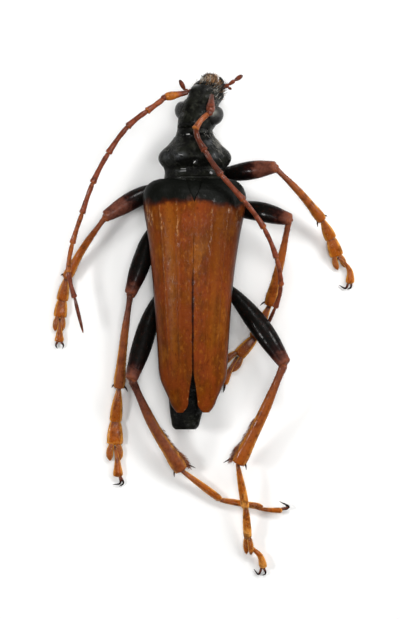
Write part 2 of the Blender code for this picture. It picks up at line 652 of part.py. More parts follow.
def build_beetle():
    """All the pieces of the beetle, each in its place in the body frame."""
    pieces = []
    coxae = {}
    for pair, (centre, halves) in COXAE.items():
        for side, word in ((-1, "left"), (1, "right")):
            place = (side * centre[0], centre[1], centre[2])
            coxa = ellipsoid(f"leg_{pair}_{word}_coxa", place, halves, "black_cuticle")
            coxae[f"{pair}_{word}"] = stood(coxa)
    pieces += coxae.values()
    pieces.append(build_pronotum([coxae["fore_left"], coxae["fore_right"]]))
    pieces.append(build_trunk(list(coxae.values())))
    pieces.append(build_abdomen([coxae["hind_left"], coxae["hind_right"]]))
    pieces.append(build_scutellum())
    pieces += [build_elytron("elytron_left", -1), build_elytron("elytron_right", 1)]
    eyes = [eye_body("eye_left", -1), eye_body("eye_right", 1)]
    head = build_head(eyes)
    pieces += [*eyes, head, *build_mouth(head)]
    for word in ANTENNAE:
        for part, first, last in ANTENNA_LENGTHS:
            length = build_antenna_length(word, part, first, last)
            pieces.append(cleared(length, [head]) if part == "scape" else length)
    for word, leg in LEGS.items():
        pieces += build_leg(word, leg, coxae[word])
    return pieces


def centre_on_floor(pieces):
    """Hangs the pieces from an empty that puts the middle of their underside on the origin."""
    corners = np.array([vertex.co for piece in pieces for vertex in piece.data.vertices])
    low, high = corners.min(axis=0), corners.max(axis=0)
    root = bpy.data.objects.new("beetle", None)
    bpy.context.scene.collection.objects.link(root)
    for piece in pieces:
        piece.parent = root
        piece.data.shade_smooth()
        piece.data.set_sharp_from_angle(angle=math.radians(40))
    root.location = (-(low[0] + high[0]) / 2, -(low[1] + high[1]) / 2, -low[2])


def main():
    for obj in list(bpy.data.objects):
        bpy.data.objects.remove(obj)
    centre_on_floor(build_beetle())


main()
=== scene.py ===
"""A knobbed-neck long-horned beetle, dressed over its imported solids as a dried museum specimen.

Shapes are worked out in the body frame, in millimetres: its origin is on the floor under the
middle of the elytral base, +X is the beetle's right, +Y runs to the head and +Z is up.
"""

import math

import bpy
import numpy as np
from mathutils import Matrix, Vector


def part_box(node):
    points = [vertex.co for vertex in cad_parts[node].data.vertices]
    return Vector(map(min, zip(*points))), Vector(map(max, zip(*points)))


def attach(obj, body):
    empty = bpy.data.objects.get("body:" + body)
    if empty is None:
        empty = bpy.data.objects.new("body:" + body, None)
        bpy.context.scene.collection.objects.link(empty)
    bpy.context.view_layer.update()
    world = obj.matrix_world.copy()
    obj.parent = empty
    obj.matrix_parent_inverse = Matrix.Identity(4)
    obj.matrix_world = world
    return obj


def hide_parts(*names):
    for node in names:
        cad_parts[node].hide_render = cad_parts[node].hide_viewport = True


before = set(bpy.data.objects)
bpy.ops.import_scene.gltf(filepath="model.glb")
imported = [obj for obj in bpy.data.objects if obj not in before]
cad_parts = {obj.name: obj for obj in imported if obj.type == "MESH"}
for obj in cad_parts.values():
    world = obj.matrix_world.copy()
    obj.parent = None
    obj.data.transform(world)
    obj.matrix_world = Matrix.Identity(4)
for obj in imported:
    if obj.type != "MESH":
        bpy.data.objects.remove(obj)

bl_info = {
    "name": "Knobbed-Neck Long-Horned Beetle",
    "version": (1, 0, 0),
    "blender": (4, 5, 0),
    "location": "3D View > Sidebar > Beetle",
    "description": "Builds the skin, hairs and finishes of a long-horned beetle over its solids",
    "category": "Add Mesh",
}

MM = 0.001
UP = (0.0, 0.0, 1.0)
FLOOR = np.array([-np.inf, -np.inf, 0.0])  # the lowest that a point may be
TURN = 2 * math.pi
BODY = "root"
SIDES = ((-1, "left"), (1, "right"))

SCUTELLUM_FRONT = -0.15  # the scutellum's front edge in the body frame
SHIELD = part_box("scutellum")
ORIGIN = np.array([
    (SHIELD[0][0] + SHIELD[1][0]) / 2,
    SHIELD[1][1] - SCUTELLUM_FRONT * MM,
    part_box("leg_mid_left_coxa")[0][2],
])

FRAME_TALL = 48.53  # height of the photo's frame at the middle of the beetle, in millimetres
FRAME_MIDDLE = np.array([0.525, -10.15, 3.0])  # what the middle of the frame looks at
LENS, SENSOR = 200.0, 36.0
CAMERA_AWAY = FRAME_TALL * LENS / SENSOR


def as_seen(marks):
    """Marks whose X and Y are read at the height of the frame's middle, as the camera sees them there.

    Each moves towards or away from the middle of the frame as its own height asks.
    """
    marks = np.asarray(marks, float)
    share = 1 - (marks[..., 2:] - FRAME_MIDDLE[2]) / CAMERA_AWAY
    flat = FRAME_MIDDLE[:2] + (marks[..., :2] - FRAME_MIDDLE[:2]) * share
    return np.concatenate([flat, marks[..., 2:]], -1)


def seeded(name):
    """A generator of random numbers that depends on a piece's name alone."""
    return np.random.default_rng(sum(ord(letter) * (i + 7) for i, letter in enumerate(name)))


def unit(vectors):
    """Vectors scaled to a length of one."""
    vectors = np.asarray(vectors, float)
    return vectors / np.maximum(np.linalg.norm(vectors, axis=-1, keepdims=True), 1e-12)


def smooth(low, high, values):
    """An S-shaped ramp from 0 at low to 1 at high."""
    t = np.clip((values - low) / (high - low), 0, 1)
    return t * t * (3 - 2 * t)


def hump(values, middle, width):
    """A bell of height one over values, round a middle one."""
    return np.exp(-(((values - middle) / width) ** 2))


def squared(values, power):
    """Values of -1 to 1 bent by a power and kept in sign, which turns a circle into a superellipse."""
    return np.sign(values) * np.abs(values) ** power


def full_turn(count):
    """Angles evenly round a circle."""
    return np.linspace(0, TURN, count, endpoint=False)


def mirrored(place, side):
    """A place on the right, or its mirror image on the left if the side is -1."""
    return np.asarray(place, float) * (side, 1, 1)


def hermite(places, values, wanted):
    """A smooth curve through values at the given places, read at the wanted places."""
    slopes = np.gradient(values, places, axis=0)
    span = np.clip(np.searchsorted(places, wanted, side="right") - 1, 0, len(places) - 2)
    width = (places[span + 1] - places[span])[:, None]
    t = ((wanted - places[span])[:, None]) / width
    start = (2 * t**3 - 3 * t**2 + 1) * values[span] + (t**3 - 2 * t**2 + t) * width * slopes[span]
    end = (3 * t**2 - 2 * t**3) * values[span + 1] + (t**3 - t**2) * width * slopes[span + 1]
    return start + end


def bell(points, centre, spread):
    """A bell of height one round a centre, with a spread along each axis."""
    away = (points - np.asarray(centre)) / np.asarray(spread)
    return np.exp(-0.5 * (away**2).sum(-1))[..., None]


def grid_faces(rows, columns, wrapped):
    """Triangles over a grid of rows by columns, joined round its columns if it is wrapped."""
    row = np.arange(rows - 1)[:, None]
    column = np.arange(columns if wrapped else columns - 1)[None]
    after = (column + 1) % columns
    a, b = row * columns + column, row * columns + after
    c, d = a + columns, b + columns
    return np.concatenate([np.stack([a, b, d], -1).reshape(-1, 3), np.stack([a, d, c], -1).reshape(-1, 3)])


def closed_skin(grid, **values):
    """A patch over rings of points (ring, point, xyz): triangles between rings and a pole at each end."""
    rows, columns = grid.shape[:2]
    points = np.concatenate([grid.reshape(-1, 3), grid[:1].mean(axis=1), grid[-1:].mean(axis=1)])
    ring = np.arange(columns)
    after = (ring + 1) % columns
    first, last = np.full(columns, rows * columns), np.full(columns, rows * columns + 1)
    near = np.stack([after, ring, first], -1)
    far = np.stack([ring, after, last - (rows - 1) * columns], -1) + (rows - 1) * columns
    faces = np.concatenate([grid_faces(rows, columns, True), near, far])
    spread = {}
    for name, value in values.items():
        value = np.broadcast_to(value, (rows, columns))
        spread[name] = np.concatenate([value.ravel(), [value[0].mean(), value[-1].mean()]])
    return points, faces_outward(points, faces), spread


def faces_outward(points, faces):
    """The faces of a closed patch, turned round if they enclose a negative volume."""
    corners = points[faces] - points.mean(axis=0)
    volume = np.einsum("ij,ij->i", corners[:, 0], np.cross(corners[:, 1], corners[:, 2])).sum()
    return faces if volume > 0 else faces[:, ::-1]


def merged(patches):
    """Several patches as one; a value that a patch lacks is 0 there."""
    names = sorted({name for patch in patches for name in patch[2]})
    starts = np.cumsum([0] + [len(patch[0]) for patch in patches[:-1]])
    points = np.concatenate([patch[0] for patch in patches])
    faces = np.concatenate([patch[1] + start for patch, start in zip(patches, starts)])
    values = {
        name: np.concatenate([patch[2].get(name, np.zeros(len(patch[0]))) for patch in patches])
        for name in names
    }
    return points, faces, values


def tube(path, profile, stations, sides, ends, up=UP, square=1.0):
    """Rings along a smooth path through points, and how far along (0 to 1) each ring is.

    A row of profile holds how far along, half width and half height. Each end closes in a quarter
    of an ellipse over its share of the length.
    """
    path, profile = np.asarray(path, float), np.asarray(profile, float)
    along = np.concatenate([[0], np.cumsum(np.linalg.norm(np.diff(path, axis=0), axis=1))])
    along /= along[-1]
    at = np.linspace(0, 1, stations)
    first, last = ends
    cap = np.sin(np.linspace(0, math.pi / 2, 6)[:-1]) ** 2 * 0.98 + 0.01
    at = np.unique(np.concatenate([at[(at > first) & (at < 1 - last)], first * cap, 1 - last * cap,
                                   [first, 1 - last]]))
    centres = hermite(along, path, at)
    halves = np.maximum(hermite(profile[:, 0], profile[:, 1:], at), 0.004)
    dome = np.sqrt(np.clip(1 - (1 - at / first) ** 2, 0, 1)) * (at < first) + (at >= first)
    dome *= np.sqrt(np.clip(1 - (1 - (1 - at) / last) ** 2, 0, 1)) * (at > 1 - last) + (at <= 1 - last)
    halves *= dome[:, None]
    tangents = unit(np.gradient(centres, at, axis=0))
    across = unit(np.cross(tangents, np.asarray(up, float)))
    above = np.cross(across, tangents)
    wide, high = squared(np.cos(full_turn(sides)), square), squared(np.sin(full_turn(sides)), square)
    rings = (
        centres[:, None]
        + across[:, None] * (halves[:, :1] * wide)[:, :, None]
        + above[:, None] * (halves[:, 1:] * high)[:, :, None]
    )
    return rings, at


def scaled(profile, width, height=None):
    """A profile with its half widths scaled, and its half heights by the same or by their own share."""
    return np.asarray(profile, float) * (1, width, width if height is None else height)


def sections(knots, stations, sides, upper=2.3, lower=2.0):
    """Cross-sections along Y from knots of (y, middle x, half width, side z, top z, bottom z).

    Each is two half superellipses that meet at the side height, with the given exponents.
    """
    knots = np.asarray(knots, float)
    knots = knots[np.argsort(knots[:, 0])]
    at = np.interp(np.linspace(0, len(knots) - 1, stations), np.arange(len(knots)), knots[:, 0])
    middle, half, side, top, bottom = hermite(knots[:, 0], knots[:, 1:], at).T[:, :, None]
    turn = full_turn(sides)[None]
    power = np.where(np.sin(turn) > 0, 2 / upper, 2 / lower)
    high = np.abs(np.sin(turn)) ** power
    x = middle + half * squared(np.cos(turn), power)
    z = np.where(np.sin(turn) > 0, side + (top - side) * high, side - (side - bottom) * high)
    y = np.repeat(at[:, None], sides, axis=1)
    return np.stack([x, y, z], -1)


def ball(rows, columns, reach):
    """A sphere of radius one as rings about Z, from -reach to reach of a half turn."""
    turn = full_turn(columns)[None]
    rise = np.linspace(-reach * math.pi, reach * math.pi, rows)[:, None]
    return np.stack([np.cos(rise) * np.cos(turn), np.cos(rise) * np.sin(turn), np.sin(rise) + 0 * turn], -1)


def grid_normals(grid):
    """Outward directions at the points of a wrapped grid of rings."""
    round_it = np.roll(grid, -1, axis=1) - np.roll(grid, 1, axis=1)
    along_it = np.gradient(grid, axis=0)
    normals = unit(np.cross(round_it, along_it))
    outside = ((grid - grid.mean(axis=1, keepdims=True)) * normals).sum()
    return normals if outside > 0 else -normals


TUFT_REACH = 0.0015  # how far a hair's patch reaches from its root's place on the bake map


def hairs(roots, ways, lengths, radius, bend, root_uv):
    """Many curved, tapering three-sided hairs: four rings from root to tip, each closed at both ends.

    A hair's middle line is its root plus its way times the distance plus its bend times the
    distance squared. Returns points, faces and the bake map place of every point.
    """
    count = len(roots)
    ways, lengths = unit(ways), np.asarray(lengths, float).reshape(-1, 1, 1)
    t = np.array([0.0, 0.35, 0.7, 1.0])
    line = (
        roots[:, None]
        + ways[:, None] * t[None, :, None] * lengths
        + np.asarray(bend)[:, None] * (t**2)[None, :, None] * lengths
    )
    side = unit(np.cross(ways, np.array([0.31, 0.47, 0.83])))
    other = np.cross(ways, side)
    turn = full_turn(3)
    thin = np.array([1.0, 0.85, 0.55, 0.12])
    spoke = side[:, None] * np.cos(turn)[None, :, None] + other[:, None] * np.sin(turn)[None, :, None]
    rings = line[:, :, None] + spoke[:, None] * thin[None, :, None, None] * radius
    points = rings.reshape(-1, 3)
    one = faces_outward(points[:12], np.concatenate([grid_faces(4, 3, True), [[2, 1, 0], [9, 10, 11]]]))
    faces = (one[None] + (np.arange(count) * 12)[:, None, None]).reshape(-1, 3)
    patch = TUFT_REACH * np.stack([np.tile(np.cos(turn), 4), np.repeat(2 * t - 1, 3)], -1)
    places = np.clip(root_uv[:, None] + patch[None], 0, 1).reshape(-1, 2)
    return points, faces, places


def mesh_object(name, points, faces, values, surface, sharp=None):
    """An object at the origin whose mesh has these body-frame points and triangles."""
    mesh = bpy.data.meshes.new(name)
    mesh.vertices.add(len(points))
    mesh.vertices.foreach_set("co", (np.asarray(points) * MM + ORIGIN).astype(np.float32).ravel())
    mesh.loops.add(faces.size)
    mesh.loops.foreach_set("vertex_index", np.ascontiguousarray(faces, np.int32).ravel())
    mesh.polygons.add(len(faces))
    mesh.polygons.foreach_set("loop_start", np.arange(0, faces.size, 3, dtype=np.int32))
    for key, value in values.items():
        layer = mesh.attributes.new(key, "FLOAT", "POINT")
        layer.data.foreach_set("value", np.ascontiguousarray(value, np.float32))
    mesh.update(calc_edges=True)
    mesh.validate()
    mesh.shade_smooth()
    if sharp:
        mesh.set_sharp_from_angle(angle=math.radians(sharp))
    mesh.materials.append(surface)
    obj = bpy.data.objects.new(name, mesh)
    bpy.context.scene.collection.objects.link(obj)
    return obj


def piece(name, patch, nodes=(), look="polished_black", sharp=None):
    """A piece that rides on the beetle's one body and stands for the named solids."""
    obj = mesh_object(name, *patch, once(look), sharp)
    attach(obj, BODY)
    if nodes:
        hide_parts(*nodes)


def hair_piece(name, coats, look):
    """A coat piece from sets of hairs, with each hair's place on the skin in its bake map."""
    starts = np.cumsum([0] + [len(coat[0]) for coat in coats[:-1]])
    points = np.concatenate([coat[0] for coat in coats])
    faces = np.concatenate([coat[1] + start for coat, start in zip(coats, starts)])
    places = np.concatenate([coat[2] for coat in coats])
    obj = mesh_object(name, points, faces, {}, once(look))
    layer = obj.data.uv_layers.new(name="OFBake")
    layer.uv.foreach_set("vector", places[faces.ravel()].astype(np.float32).ravel())
    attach(obj, BODY)


# Materials


class Nodes:
    """A material's node tree, with short calls for the nodes that the finishes share."""

    def __init__(self, name):
        material = bpy.data.materials.new(name)
        material.use_nodes = True
        self.tree = material.node_tree
        self.surface = self.tree.nodes["Principled BSDF"]
        self.place = self.add("ShaderNodeTexCoord").outputs["Object"]

    def add(self, kind, **settings):
        """A new node with its settings."""
        node = self.tree.nodes.new(kind)
        for key, value in settings.items():
            setattr(node, key, value)
        return node

    def link(self, value, socket):
        """Puts a number or colour on a socket, or links an output to it."""
        if isinstance(value, bpy.types.NodeSocket):
            self.tree.links.new(value, socket)
        elif socket.type == "RGBA":
            socket.default_value = (*value, 1.0)
        else:
            socket.default_value = value

    def stretched(self, scale):
        """Object coordinates scaled along each axis."""
        node = self.add("ShaderNodeMapping")
        self.link(self.place, node.inputs["Vector"])
        node.inputs["Scale"].default_value = scale
        return node.outputs["Vector"]

    def noise(self, scale, detail=3.0, roughness=0.55, stretch=(1, 1, 1)):
        """Noise from about 0 to 1, with scale in grains per metre."""
        node = self.add("ShaderNodeTexNoise")
        self.link(self.stretched(stretch), node.inputs["Vector"])
        node.inputs["Scale"].default_value = scale
        node.inputs["Detail"].default_value = detail
        node.inputs["Roughness"].default_value = roughness
        return node.outputs["Fac"]

    def cells(self, scale, stretch=(1, 1, 1), randomness=1.0):
        """Distance to the nearest of scattered points, in cells."""
        node = self.add("ShaderNodeTexVoronoi")
        self.link(self.stretched(stretch), node.inputs["Vector"])
        node.inputs["Scale"].default_value = scale
        node.inputs["Randomness"].default_value = randomness
        return node.outputs["Distance"]

    def ramp(self, value, low, high, to_low=0.0, to_high=1.0):
        """The value carried smoothly from one range to another."""
        node = self.add("ShaderNodeMapRange", interpolation_type="SMOOTHSTEP")
        self.link(value, node.inputs["Value"])
        for key, number in (("From Min", low), ("From Max", high), ("To Min", to_low), ("To Max", to_high)):
            node.inputs[key].default_value = number
        return node.outputs["Result"]

    def mix(self, share, first, second):
        """The first colour blended towards the second by a share."""
        node = self.add("ShaderNodeMix", data_type="RGBA")
        self.link(share, node.inputs["Factor"])
        self.link(first, node.inputs["A"])
        self.link(second, node.inputs["B"])
        return node.outputs["Result"]

    def tint(self, colour, over, value, low, high, to_low=0.0, to_high=1.0):
        """A colour with another over it, by a value's ramp from one range to another."""
        return self.mix(self.ramp(value, low, high, to_low, to_high), colour, over)

    def painted(self, name):
        """A value kept on the mesh."""
        return self.add("ShaderNodeAttribute", attribute_name=name).outputs["Fac"]

    def broken(self, name, operation, value, low, high, to_low=0.0, to_high=1.0):
        """A painted value that is broken up: multiplied by another value's ramp, or added to it."""
        node = self.add("ShaderNodeMath", operation=operation)
        self.link(self.painted(name), node.inputs[0])
        self.link(self.ramp(value, low, high, to_low, to_high), node.inputs[1])
        return node.outputs["Value"]

    def relief(self, height, distance, strength=1.0, over=None):
        """A bump of a height map, in metres, over another bump."""
        node = self.add("ShaderNodeBump")
        node.inputs["Strength"].default_value = strength
        node.inputs["Distance"].default_value = distance
        self.link(height, node.inputs["Height"])
        if over:
            self.link(over, node.inputs["Normal"])
        return node.outputs["Normal"]

    def gloss(self, value, roughness, relief=None):
        """A glossy coat where a value says so, with its own roughness and relief."""
        self.link(value, self.surface.inputs["Coat Weight"])
        self.surface.inputs["Coat Roughness"].default_value = roughness
        if relief:
            self.link(relief, self.surface.inputs["Coat Normal"])

    def finish(self, colour, roughness, normal=None, specular=0.5):
        """Sets the surface's colour, roughness and relief."""
        self.link(colour, self.surface.inputs["Base Color"])
        self.link(roughness, self.surface.inputs["Roughness"])
        if normal:
            self.link(normal, self.surface.inputs["Normal"])
        self.surface.inputs["Specular IOR Level"].default_value = specular


# Colours of the finer marks of each finish, under those that the panel shows.
SHADES = {
    "black_bloom": (0.009, 0.0095, 0.0065),
    "black_specks": (0.03, 0.031, 0.023),
    # painted sheen and highlights on the neck ring, with a little dust
    "sheen_and_dust_grey": (0.1, 0.105, 0.11),
    "horn": (0.11, 0.055, 0.022),
    "blotch": (0.09, 0.016, 0.003),
    "leg_specks": (0.035, 0.008, 0.003),
    "feeler_specks": (0.03, 0.008, 0.004),
    "amber_flecks": (0.29, 0.09, 0.008),
    "dark_flecks": (0.085, 0.014, 0.003),
    # painted glints of the wing cases
    "glints": (0.4, 0.2, 0.08),
    "amber_shade": (0.06, 0.013, 0.002),
    "burnt_edge": (0.04, 0.008, 0.003),
    "elytra_black": (0.0045, 0.005, 0.004),
    "facet_grooves": (0.006, 0.006, 0.0065),
    "facets": (0.014, 0.013, 0.012),
    # painted highlight on the right eye
    "eye_film": (0.3, 0.3, 0.25),
    "mouth_brown": (0.09, 0.04, 0.014),
    "mouth_stripes": (0.5, 0.33, 0.2),
    "mouth_clefts": (0.012, 0.007, 0.004),
    "flake": (0.5, 0.5, 0.48),
    "flake_shade": (0.2, 0.2, 0.2),
    "gold_hair": (0.36, 0.17, 0.05),
    "brown_hair": (0.27, 0.08, 0.026),
    "silver_hair": (0.4, 0.38, 0.33),
    "dark_hair": (0.02, 0.014, 0.01),
}


def polished_black(nodes, looks):
    """Black cuticle with soft wrinkles and scattered pits, pale horn where it is painted so, and grey painted
    sheen with a little dust where that is painted.
    """
    colour = nodes.tint(looks.black, SHADES["black_bloom"], nodes.noise(900, 3.0), 0.42, 0.7)
    specks = nodes.noise(2400, 4.0, 0.7)
    colour = nodes.tint(colour, SHADES["black_specks"], specks, 0.52, 0.68, 0.0, 0.6)
    # Grey painted sheen and highlights, with a little dust, where they are painted on the mesh.
    dust = nodes.broken("dust", "MULTIPLY", nodes.noise(1700, 4.0, 0.7), 0.35, 0.6)
    colour = nodes.mix(dust, colour, SHADES["sheen_and_dust_grey"])
    horn = nodes.broken("horn", "ADD", nodes.noise(2600, 3.0), 0.3, 0.7, -0.25, 0.25)
    colour = nodes.tint(colour, SHADES["horn"], horn, 0.35, 0.8)
    pits = nodes.ramp(nodes.cells(3400), 0.0, 0.35)
    wrinkles = nodes.noise(2600, 4.0, 0.65, stretch=(1, 1.4, 1))
    normal = nodes.relief(pits, 0.000015, 0.8, over=nodes.relief(wrinkles, 0.00009, 0.8))
    roughness = nodes.ramp(nodes.noise(1900, 4.0), 0.35, 0.7, 0.24, 0.4)
    gloss = nodes.ramp(nodes.noise(1300, 2.0), 0.56, 0.7, 0.0, 0.4)
    nodes.gloss(gloss, 0.14, nodes.relief(wrinkles, 0.00012))
    nodes.finish(colour, roughness, normal, specular=0.05)


def graded(nodes, stops):
    """A colour that follows the painted rust value, a little uneven, through stops of (value, colour)."""
    ramp = nodes.add("ShaderNodeValToRGB")
    for i, (place, shown) in enumerate(stops):
        stop = ramp.color_ramp.elements[i] if i < 2 else ramp.color_ramp.elements.new(place)
        stop.position, stop.color = place, (*shown, 1.0)
    shade = nodes.broken("rust", "ADD", nodes.noise(2000, 4.0, 0.65), 0.3, 0.7, -0.07, 0.07)
    nodes.link(shade, ramp.inputs["Fac"])
    return ramp.outputs["Color"]


def leg_cuticle(nodes, looks):
    """Cuticle that goes from black to red-brown to rust along a painted value of 0 to 1, with a painted glow
    along its rims.
    """
    colour = graded(nodes, [
        (0.0, looks.black),
        (0.2, (0.012, 0.0035, 0.003)),
        (0.4, looks.red_brown),
        (0.68, looks.rust),
        (0.85, looks.orange),
        (1.0, looks.pale_rust),
    ])
    # A painted glow along the sides of the shins and feet, as seen from above.
    rim = nodes.broken("rim", "MULTIPLY", nodes.noise(2300, 4.0), 0.3, 0.55, 0.35, 1.0)
    colour = nodes.mix(rim, colour, looks.glow)
    blotch = nodes.broken("rust", "MULTIPLY", nodes.noise(1700, 2.0), 0.42, 0.7)
    colour = nodes.tint(colour, SHADES["blotch"], blotch, 0.1, 0.8, 0.0, 0.65)
    specks = nodes.noise(4800, 4.0, 0.7)
    colour = nodes.tint(colour, SHADES["leg_specks"], specks, 0.54, 0.7, 0.0, 0.55)
    nodes.gloss(nodes.ramp(nodes.noise(2600, 2.0), 0.45, 0.62, 0.0, 0.26), 0.18)
    pits = nodes.ramp(nodes.cells(6500), 0.0, 0.4)
    normal = nodes.relief(pits, 0.00001, 0.6, over=nodes.relief(nodes.noise(3500, 2.0), 0.00002, 0.5))
    roughness = nodes.ramp(nodes.noise(2500, 3.0), 0.35, 0.7, 0.28, 0.44)
    nodes.finish(colour, roughness, normal, specular=0.05)


def feeler_cuticle(nodes, _looks):
    """Cuticle that goes from dark red to mauve-brown to orange along a painted value of 0 to 1."""
    colour = graded(nodes, [
        (0.0, (0.03, 0.008, 0.004)),
        (0.25, (0.09, 0.02, 0.009)),
        (0.5, (0.2, 0.047, 0.022)),
        (0.75, (0.31, 0.082, 0.011)),
        (1.0, (0.48, 0.17, 0.022)),
    ])
    colour = nodes.tint(colour, SHADES["feeler_specks"], nodes.noise(3300, 3.0), 0.48, 0.66, 0.0, 0.6)
    nodes.gloss(nodes.ramp(nodes.noise(2600, 2.0), 0.45, 0.6, 0.0, 0.5), 0.16)
    wrinkles = nodes.noise(4500, 2.0, stretch=(1, 0.5, 1))
    nodes.finish(colour, 0.34, nodes.relief(wrinkles, 0.00003, 0.6), specular=0.08)


def elytra_cuticle(nodes, looks):
    """Amber wing-case cuticle: black at the base, mottled, streaked lengthways, with painted glints and a
    glossy coat on its ribs.
    """
    streaks = nodes.noise(1700, 4.0, 0.62, stretch=(1.0, 0.13, 1.0))
    mottle = nodes.noise(480, 4.0, 0.6, stretch=(1.0, 0.6, 1.0))
    colour = nodes.tint(looks.amber_dark, looks.amber, streaks, 0.36, 0.62)
    colour = nodes.tint(colour, looks.amber_red, mottle, 0.4, 0.56, 0.75, 0.0)
    colour = nodes.tint(colour, looks.amber_light, mottle, 0.52, 0.7, 0.0, 0.5)
    colour = nodes.mix(nodes.painted("pale"), colour, looks.amber_light)
    pits = nodes.cells(4600, stretch=(1, 0.7, 1))
    colour = nodes.tint(colour, looks.amber_dark, pits, 0.08, 0.35, 0.45, 0.0)
    flecks = nodes.noise(4200, 4.0, 0.72, stretch=(1.0, 0.45, 1.0))
    colour = nodes.tint(colour, SHADES["amber_flecks"], flecks, 0.54, 0.66, 0.0, 0.5)
    colour = nodes.tint(colour, SHADES["dark_flecks"], flecks, 0.3, 0.45, 0.7, 0.0)
    # Painted glints on the ribs, the shoulder and the seam.
    painted_dashes = nodes.broken("glint", "MULTIPLY", flecks, 0.5, 0.6)
    colour = nodes.tint(colour, SHADES["glints"], painted_dashes, 0.2, 0.9, 0.0, 0.75)
    colour = nodes.mix(nodes.painted("dim"), colour, SHADES["amber_shade"])
    edge = nodes.broken("black", "ADD", nodes.noise(900, 4.0), 0.3, 0.7, -0.18, 0.18)
    colour = nodes.tint(colour, SHADES["burnt_edge"], edge, 0.05, 0.55)
    colour = nodes.tint(colour, SHADES["elytra_black"], edge, 0.35, 0.8)
    under = nodes.relief(streaks, 0.00003, 0.35)
    normal = nodes.relief(nodes.ramp(pits, 0.0, 0.5), 0.000012, 0.7, over=under)
    roughness = nodes.ramp(nodes.noise(3000, 3.0), 0.3, 0.7, 0.3, 0.42)
    grains = nodes.noise(5200, 2.0, stretch=(1, 0.45, 1))
    nodes.gloss(nodes.broken("glint", "MULTIPLY", grains, 0.5, 0.68), 0.13, nodes.relief(grains, 0.00006))
    nodes.finish(colour, roughness, normal, specular=0.04)


def eye_facets(nodes, _looks):
    """A dark compound eye: fine facets in rows, a little grey where they catch the light, and a pale painted
    highlight where painted so.
    """
    facets = nodes.cells(15000, randomness=0.25)
    colour = nodes.tint(SHADES["facet_grooves"], SHADES["facets"], facets, 0.3, 0.6)
    # A pale painted highlight on the right eye.
    painted_highlight = nodes.broken("dust", "MULTIPLY", nodes.noise(1900, 4.0, 0.7), 0.2, 0.5)
    colour = nodes.mix(painted_highlight, colour, SHADES["eye_film"])
    normal = nodes.relief(nodes.ramp(facets, 0.1, 0.6, 1.0, 0.0), 0.00002, 0.8)
    nodes.finish(colour, 0.26, normal, specular=0.3)


def mouth_plate(nodes, _looks):
    """Brown, horny mouth plate with pale stripes and dark clefts that run forwards."""
    stripes = nodes.noise(2300, 3.0, stretch=(1.6, 0.45, 1))
    colour = nodes.tint(SHADES["mouth_brown"], SHADES["mouth_stripes"], stripes, 0.42, 0.58)
    clefts = nodes.noise(3100, 2.0, stretch=(1.7, 0.4, 1))
    colour = nodes.tint(colour, SHADES["mouth_clefts"], clefts, 0.5, 0.62)
    nodes.finish(colour, 0.42, nodes.relief(nodes.noise(5200, 2.0), 0.00003, 0.6), specular=0.3)


def pale_flake(nodes, _looks):
    """Grey-white flakes of dried skin and debris, some of them painted highlights."""
    colour = nodes.tint(SHADES["flake"], SHADES["flake_shade"], nodes.noise(900, 1.0), 0.4, 0.6)
    nodes.finish(colour, 0.6, specular=0.2)


def keratin(colour):
    """The maker of one colour of hair, a little uneven along and between the hairs."""
    def hair(nodes, looks):
        shown = tuple(looks.pale_hair) if colour == "pale_hair" else SHADES[colour]
        darker = tuple(0.55 * part for part in shown)
        nodes.finish(nodes.tint(shown, darker, nodes.noise(4000, 2.0), 0.35, 0.65), 0.45)

    return hair


def floor_card(nodes, _looks):
    """Plain white card."""
    nodes.finish(bpy.context.scene.beetle_stage.floor, 0.9, specular=0.0)


CUTICLES = (polished_black, leg_cuticle, feeler_cuticle, elytra_cuticle, eye_facets, mouth_plate)
HAIR_COLOURS = ("pale_hair", "gold_hair", "brown_hair", "silver_hair", "dark_hair")
FINISHES = {maker.__name__: maker for maker in (*CUTICLES, pale_flake, floor_card)}
FINISHES |= {name: keratin(name) for name in HAIR_COLOURS}


def once(name):
    """The material of a finish, made the first time it is asked for."""
    if name not in bpy.data.materials:
        nodes = Nodes(name)
        FINISHES[name](nodes, bpy.context.scene.beetle_looks)
    return bpy.data.materials[name]


# The trunk


PRONOTUM = (
    (4.0, 0.12, 1.36, 3.6, 4.85, 2.2),
    (3.7, 0.12, 1.42, 3.6, 4.95, 2.1),
    (3.4, 0.12, 1.56, 3.55, 4.85, 2.0),
    (3.0, 0.12, 1.84, 3.5, 5.05, 1.9),
    (2.6, 0.12, 2.08, 3.5, 5.25, 1.8),
    (1.7, 0.12, 2.3, 3.4, 5.35, 1.65),
    (1.0, 0.12, 2.22, 3.4, 5.1, 1.65),
    (0.4, 0.12, 2.34, 3.4, 5.05, 1.75),
    (0.1, 0.12, 2.42, 3.45, 5.05, 1.85),
    (-0.15, 0.12, 2.4, 3.45, 4.95, 1.9),
)
PRONOTUM_MIDDLE = 0.12
# Swellings of the neck ring's two sides: place from its middle line, spread and push.
KNOBS = (
    ((0.98, 1.95, 5.2), (0.52, 0.55, 0.8), (0.1, 0, 0.62)),
    ((0.85, 0.62, 5.0), (0.4, 0.28, 0.6), (0, 0, 0.18)),
)
TUBERCLE = ((2.35, 1.68, 3.6), (0.75, 0.42, 0.6), (0.56, 0, 0.08))
GROOVES = ((3.42, 0.13, 0.07), (0.95, 0.12, 0.1), (0.22, 0.06, 0.05))  # place along, half width, depth
THORAX = (
    (-0.1, 0.0, 2.2, 3.3, 4.35, 2.0),
    (-1.2, 0.0, 2.9, 3.5, 4.6, 1.75),
    (-2.7, 0.0, 3.15, 3.6, 5.1, 1.45),
    (-4.5, 0.0, 2.8, 3.4, 5.15, 1.1),
    (-6.6, 0.0, 2.5, 3.2, 5.05, 1.05),
    (-7.5, 0.0, 2.4, 3.05, 4.9, 1.1),
)
